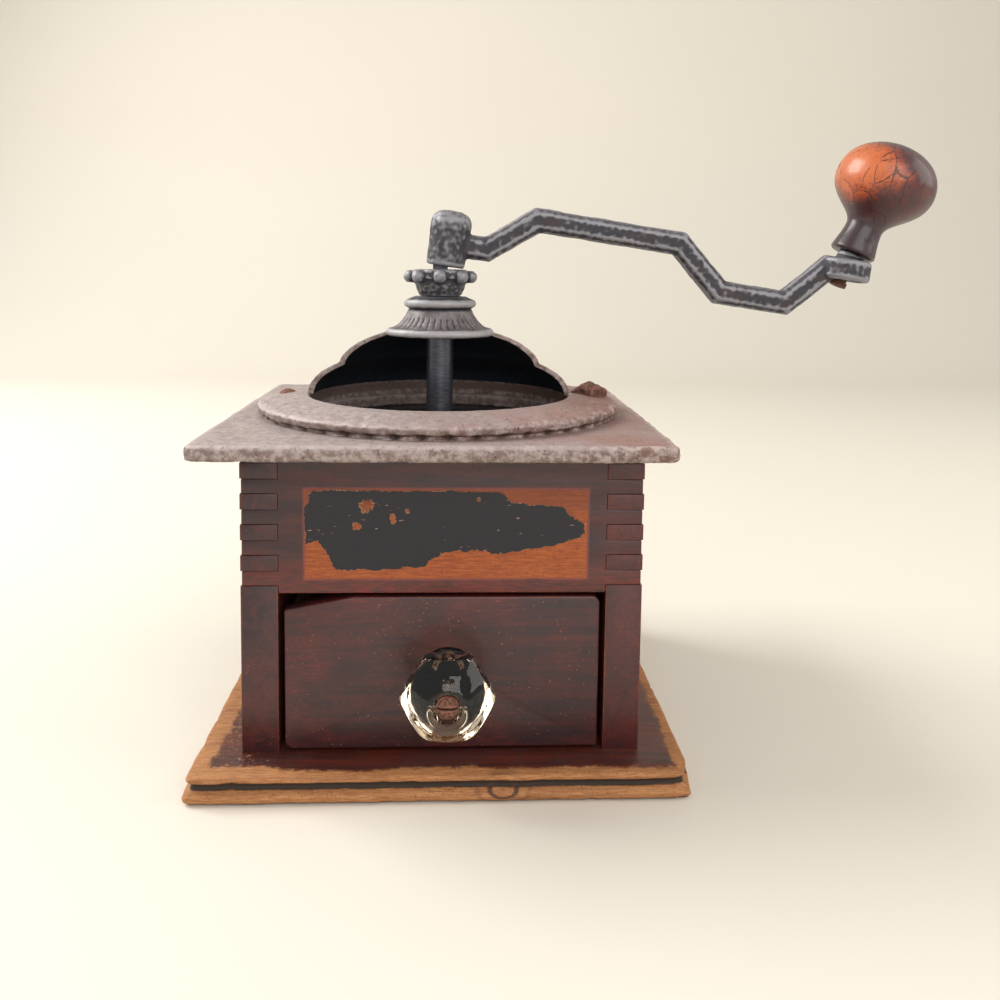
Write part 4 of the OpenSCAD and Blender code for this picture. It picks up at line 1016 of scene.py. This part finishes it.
class MillHopper(Operator):
    """Makes the hopper casting: scalloped flange, two-tiered hood and fluted neck"""

    bl_idname = "mill.hopper"
    bl_label = "Hopper"

    def execute(self, context):
        sizes = context.scene.mill_sizes
        grain = sizes.casting_grain
        centre = Vector((SHAFT.x, 0, PLATE_TOP))
        hollow_shade = hollow_iron("hopper_inside_shade", context.scene.mill_colours.hollow_shade)
        rim = HOPPER_R
        mouth = rim - 20.3
        profile = (
            [(mouth, 0.02), (rim - 2.6, 0.02), (rim - 2.4, 1.3)]
            + bend((rim - 1.6, 1.9), (rim - 0.5, 2.0), (rim, 2.2), (rim, 2.9), 5)
            + bend((rim, 3.3), (rim, 4.2), (rim - 0.8, 4.8), (rim - 2.2, 5.15), 6)
            + bend((rim - 3.4, 5.45), (rim - 9, 6.6), (mouth + 5, 7.5), (mouth + 1, 7.45), 12)
            + [(mouth + 0.3, 7.1), (mouth, 6.5)])
        flange = turn(profile, 384, 1.1)
        for v in flange.verts:
            radius = math.hypot(v.co.x, v.co.y)
            angle = math.atan2(v.co.y, v.co.x)
            if v.co.z < 2.6 and radius > rim - 4:
                lobe = abs(math.cos(angle * sizes.scallops / 2)) ** 0.7
                lobe *= 0.8 + 0.5 * noise.noise(v.co / 9)
                if v.co.z < 1.6:
                    pull(v, rim - 2.9 + 1.9 * lobe)
                else:
                    v.co.z -= 0.75 * lobe * (2.6 - v.co.z)

        def share(place):
            radius = math.hypot(place.x, place.y)
            band = max(0, min(1, (radius - mouth - 6) / 6))
            return (0.25 + 1.25 * band) * (place.z > 0.1)

        roughen(flange, (1.3, grain), (3.4, grain * 1.2), (13, grain), share=share)
        for v in flange.verts:
            if v.co.xy.length > rim:
                pull(v, rim)
        set_down(flange, centre)
        iron = dusty_iron("hopper_iron", 0.1)
        put(flange, "hopper_flange", "mill", iron, ["hopper_hood"], 60, 5)

        outer = [(mouth + 0.8, 6.2), (mouth + 0.9, 8), (53.0, 10.9), (51.3, 13.2),
                 (48.8, 15.4), (46.0, 17.1), (43.4, 18.4), (42.1, 18.9), (41.3, 19.5),
                 (40.9, 20.9), (39.6, 22.9), (37.2, 25.2), (33.8, 27.6), (30, 29.5),
                 (25.5, 31.2), (21, 32.5)]
        inner = [(r - 1.9, z - 0.9) for r, z in outer[1:]]
        hood = turn(outer + inner[::-1] + [(mouth - 0.9, 6.2)], 200, 1.0, 180)
        roughen(hood, (1.5, grain * 0.7), (6, grain * 0.8))
        for v in hood.verts:
            if v.co.y < 0.8:
                v.co.y = max(0.02, v.co.y + 0.25 + 0.45 * noise.noise(v.co / 2.3))
        hood.normal_update()
        # Faces on the inside of the hood get the dark inside finish: painted shade under the hood.
        for f in hood.faces:
            middle = f.calc_center_median()
            away = Vector((middle.x, middle.y, 0)).normalized() + Vector((0, 0, 0.6))
            if f.normal.dot(away) < -0.2 and middle.y > 0.9:
                f.material_index = 1
        set_down(hood, centre)
        put(hood, "hopper_hood_shell", "mill", [iron, hollow_shade],
            ["hopper_hood"], 50, 4)

        neck = turn(
            [(5.6, 31.1), (21.4, 31.1), (22.1, 31.7), (22.1, 33.0), (21.3, 33.8),
             (19.2, 34.2), (17.4, 35.4), (15.6, 37.2), (14.1, 39.4), (13.1, 41.5),
             (12.7, 42.0), (13.5, 42.6)]
            + bend((14.2, 42.9), (15.1, 43.4), (15.1, 44.9), (14.0, 45.6), 6)
            + [(12.4, 46.2), (11.2, 46.7), (10.4, 47.05), (5.6, 47.05)], 400, 0.8)
        for v in neck.verts:
            radius = math.hypot(v.co.x, v.co.y)
            band = max(0, min(1, (v.co.z - 34.3) / 0.7)) * max(0, min(1, (39.5 - v.co.z) / 1.5))
            if band and radius > 11:
                angle = math.atan2(v.co.y, v.co.x)
                groove = max(0, math.sin(angle * sizes.flutes)) ** 0.6
                pull(v, radius - sizes.flute_depth * groove * band)
        roughen(neck, (1.4, grain * 0.5), (5, grain * 0.7),
                share=lambda p: float(math.hypot(p.x, p.y) > 8))
        set_down(neck, centre)
        put(neck, "hopper_neck", "mill", neck_iron(), ["hopper_hood"], 60, 4)
        return {"FINISHED"}


class MillScrews(Operator):
    """Makes the two screws that hold the iron top, and dresses the hidden ones"""

    bl_idname = "mill.screws"
    bl_label = "Screws"

    def execute(self, context):
        lump = remeshed(cad_copy("square_screw"), 0.45)
        top = max(v.co.z for v in lump.verts)
        for v in lump.verts:
            up = max(0, (v.co.z - HEAD_SEAT) / (top - HEAD_SEAT))
            side = v.co.x - (SHAFT.x + 62.5)
            v.co.z -= up * (1.1 + 0.34 * abs(side - 1.2) + 0.9 * noise.noise(v.co / 2.4))
        roughen(lump, (1.3, 0.35), (3.6, 0.7),
                share=lambda p: max(0, min(1, p.z - HEAD_SEAT + 0.5)))
        put(lump, "square_lag", "mill", heavy_rust("lag_rust"),
            ["square_screw"], 60, 4)
        button = remeshed(cad_copy("round_screw"), 0.3)
        roughen(button, (1.2, 0.15), share=lambda p: float(p.z > HEAD_SEAT))
        put(button, "round_button", "mill", heavy_rust("button_rust", 0.1),
            ["round_screw"], 60, 3)
        steel = plain_steel("screw_steel", srgb(128, 124, 120), 0.35)
        for node in ("base_screws", "shell_screws", "bar_screws"):
            dress(node, steel)
        return {"FINISHED"}


class MillGrinder(Operator):
    """Dresses the grinding shell, burr, spindle and steady bar"""

    bl_idname = "mill.grinder"
    bl_label = "Grinding parts"

    def execute(self, context):
        iron = hollow_iron("mill_iron", srgb(46, 42, 42))
        for node in ("grinding_shell", "inner_burr", "steady_bar"):
            dress(node, iron)
        dress("spindle", plain_steel("spindle_steel", srgb(96, 98, 108), 0.2))
        dress("burr_pin", plain_steel("pin_steel", srgb(140, 138, 134), 0.1))
        return {"FINISHED"}


class MillNut(Operator):
    """Makes the lobed adjusting nut"""

    bl_idname = "mill.nut"
    bl_label = "Adjusting nut"

    def execute(self, context):
        shape = remeshed(cad_copy("adjusting_nut"), 0.4)
        soften(shape, 2)
        roughen(shape, (1.5, 0.16), (4, 0.3),
                share=lambda p: float(math.hypot(p.x - SHAFT.x, p.y) > 6))
        put(shape, "lobed_nut", "nut", black_iron("nut_iron"),
            ["adjusting_nut"], 60, 5)
        return {"FINISHED"}


class MillCrank(Operator):
    """Makes the cast crank and dresses its rivet"""

    bl_idname = "mill.crank"
    bl_label = "Crank"

    def execute(self, context):
        grain = context.scene.mill_sizes.crank_grain
        shape = remeshed(cad_copy("crank_arm"), 0.55)
        soften(shape, 2)
        low = limits("crank_arm")[0].z

        def share(place):
            inside = math.hypot(place.x - SHAFT.x, place.y) < 5 and place.z < low + 16
            return 0.0 if inside else 1.0

        roughen(shape, (1.7, grain), (6, grain * 1.6), (19, grain * 1.6), share=share)
        put(shape, "cast_crank", "crank", black_iron("crank_iron"),
            ["crank_arm"], 60, 5)
        dress("knob_rivet", heavy_rust("rivet_rust"))
        return {"FINISHED"}


class MillKnob(Operator):
    """Makes the turned knob on the crank's rivet"""

    bl_idname = "mill.knob"
    bl_label = "Crank knob"

    def execute(self, context):
        copy = cad_copy("crank_knob")
        along = [(v.co - RIVET).dot(RIVET_AXIS) for v in copy.verts]
        across = [((v.co - RIVET) - RIVET_AXIS * a).length
                  for v, a in zip(copy.verts, along)]
        foot, tall, wide = min(along), max(along), max(across)
        copy.free()
        high = tall - foot
        profile = (
            [(3.0, 0), (8.7, 0), (9.2, 0.5), (9.2, 1.3)]
            + bend((9.15, 1.6), (8.7, 4.2), (7.7, 7.2), (7.5, 11.2), 10)
            + bend((7.5, 11.6), (7.8, 18), (wide - 0.1, high * 0.43), (wide - 0.1, high * 0.66), 18)
            + bend((wide - 0.1, high * 0.665), (wide - 0.1, high * 0.86),
                   (wide * 0.58, high - 0.1), (0.4, high - 0.1), 18)
            + [(0.4, high - 6), (3.0, high - 14)])
        shape = turn(profile, 160, 1.2)
        for v in shape.verts:
            if v.co.xy.length > 3.2:
                shrink = 0.5 + 0.5 * noise.noise(v.co / 14)
                v.co.xy *= 1 - 0.014 * shrink - 0.004 * noise.noise(v.co / 5)
        set_down(shape, RIVET + RIVET_AXIS * foot, RIVET_AXIS)
        put(shape, "turned_knob", "knob",
            knob_finish(RIVET + RIVET_AXIS * foot, RIVET_AXIS),
            ["crank_knob"], 50)
        return {"FINISHED"}


class MillDrawer(Operator):
    """Makes the drawer's front and dresses its box"""

    bl_idname = "mill.drawer"
    bl_label = "Drawer"

    def execute(self, context):
        width = context.scene.mill_sizes.wood_round
        finish = varnished("drawer_varnish", "X", limits("drawer_front"), 1.0, 0.05)
        put(rounded_copy("drawer_front", width * 1.5, 3), "drawer_face", "drawer", finish,
            ["drawer_front"], 40)
        for node, along in (("drawer_left", "Y"), ("drawer_right", "Y"),
                            ("drawer_back", "X"), ("drawer_bottom", "Y")):
            dress(node, raw_wood(node + "_wood", along, srgb(166, 128, 88)))
        return {"FINISHED"}


class MillGlass(Operator):
    """Makes the pressed glass knob with its rusty bolt"""

    bl_idname = "mill.glass"
    bl_label = "Glass knob"

    def execute(self, context):
        low, high = limits("glass_knob")
        middle = (low + high) / 2
        corner = (high.x - low.x) / 2
        flat = corner * math.cos(math.radians(30))
        length = high.y - low.y
        mid = length * 0.66
        profile = (
            [(2.1, 0), (9.4, 0), (9.6, 0.4), (9.6, 1.4)]
            + bend((9.5, 1.7), (8.6, 2.6), (7.3, 3.2), (7.2, 5.2), 8)
            + bend((7.2, 5.6), (7.3, 8.0), (7.8, 9.2), (9.6, 10.4), 6)
            + bend((10.4, 11.0), (13.4, 13.6), (corner - 0.6, mid - 3), (corner, mid - 1.2), 8)
            + [(corner, mid + 0.4)]
            + bend((corner - 0.3, mid + 1.2), (corner - 1.4, mid + 2.8),
                   (9.4, length - 1.6), (6.9, length - 0.2), 10)
            + [(6.2, length), (5.2, length), (4.8, length - 0.4), (4.7, length - 3.3),
               (2.1, length - 3.4)])
        shape = turn(profile, 144, 0.9)
        for i in range(6):
            angle = math.radians(60 * i + 30)
            out = Vector((math.cos(angle), math.sin(angle), 0))
            cut = bmesh.ops.bisect_plane(
                shape, geom=shape.verts[:] + shape.edges[:] + shape.faces[:], dist=0.0001,
                plane_co=out * flat, plane_no=out, clear_outer=True)["geom_cut"]
            rim = [g for g in cut if isinstance(g, bmesh.types.BMEdge)]
            bmesh.ops.holes_fill(shape, edges=rim, sides=0)
        bmesh.ops.recalc_face_normals(shape, faces=shape.faces)
        edges = [e for e in shape.edges if e.is_manifold and e.verts[0].co.xy.length > flat - 3
                 and e.calc_face_angle(0) > math.radians(24)]
        bmesh.ops.bevel(shape, geom=edges, offset=0.45, offset_type="OFFSET", segments=3,
                        profile=0.5, affect="EDGES", material=-1, clamp_overlap=True)
        bmesh.ops.rotate(shape, verts=shape.verts, matrix=Matrix.Rotation(
            math.radians(90), 3, "X"))
        bmesh.ops.translate(shape, verts=shape.verts, vec=(middle.x, high.y, middle.z))
        put(shape, "pressed_knob", "drawer", glass_finish(),
            ["glass_knob"], 30)
        bolt = remeshed(cad_copy("glass_bolt"), 0.22)
        roughen(bolt, (1.1, 0.14), share=lambda p: float(p.y < low.y + 3))
        put(bolt, "domed_bolt", "drawer", heavy_rust("bolt_rust", 0.1),
            ["glass_bolt"], 60, 3)
        steel = plain_steel("nut_steel", srgb(128, 124, 120), 0.3)
        dress("glass_washer", steel)
        dress("glass_nut", steel)
        return {"FINISHED"}


class MillPanel(Panel):
    """Lists the mill's sizes, colours and pieces"""

    bl_idname = "VIEW3D_PT_mill"
    bl_label = "Lap coffee mill"
    bl_space_type = "VIEW_3D"
    bl_region_type = "UI"
    bl_category = "Mill"

    def draw(self, context):
        for group in (context.scene.mill_sizes, context.scene.mill_colours):
            for name in group.__annotations__:
                self.layout.prop(group, name)
        for piece in PIECES:
            self.layout.operator(piece.bl_idname)


PIECES = (MillStage, MillBoard, MillBox, MillLabel, MillPlate, MillHopper, MillScrews,
          MillGrinder, MillNut, MillCrank, MillKnob, MillDrawer, MillGlass)
CLASSES = (MillSizes, MillColours) + PIECES + (MillPanel,)


def register():
    for one in CLASSES:
        bpy.utils.register_class(one)
    bpy.types.Scene.mill_sizes = PointerProperty(type=MillSizes)
    bpy.types.Scene.mill_colours = PointerProperty(type=MillColours)


def unregister():
    del bpy.types.Scene.mill_colours
    del bpy.types.Scene.mill_sizes
    for one in reversed(CLASSES):
        bpy.utils.unregister_class(one)


def main():
    register()
    for name in ("stage", "board", "box", "label", "plate", "hopper", "screws", "grinder",
                 "nut", "crank", "knob", "drawer", "glass"):
        getattr(bpy.ops.mill, name)()


if __name__ == "__main__":
    main()
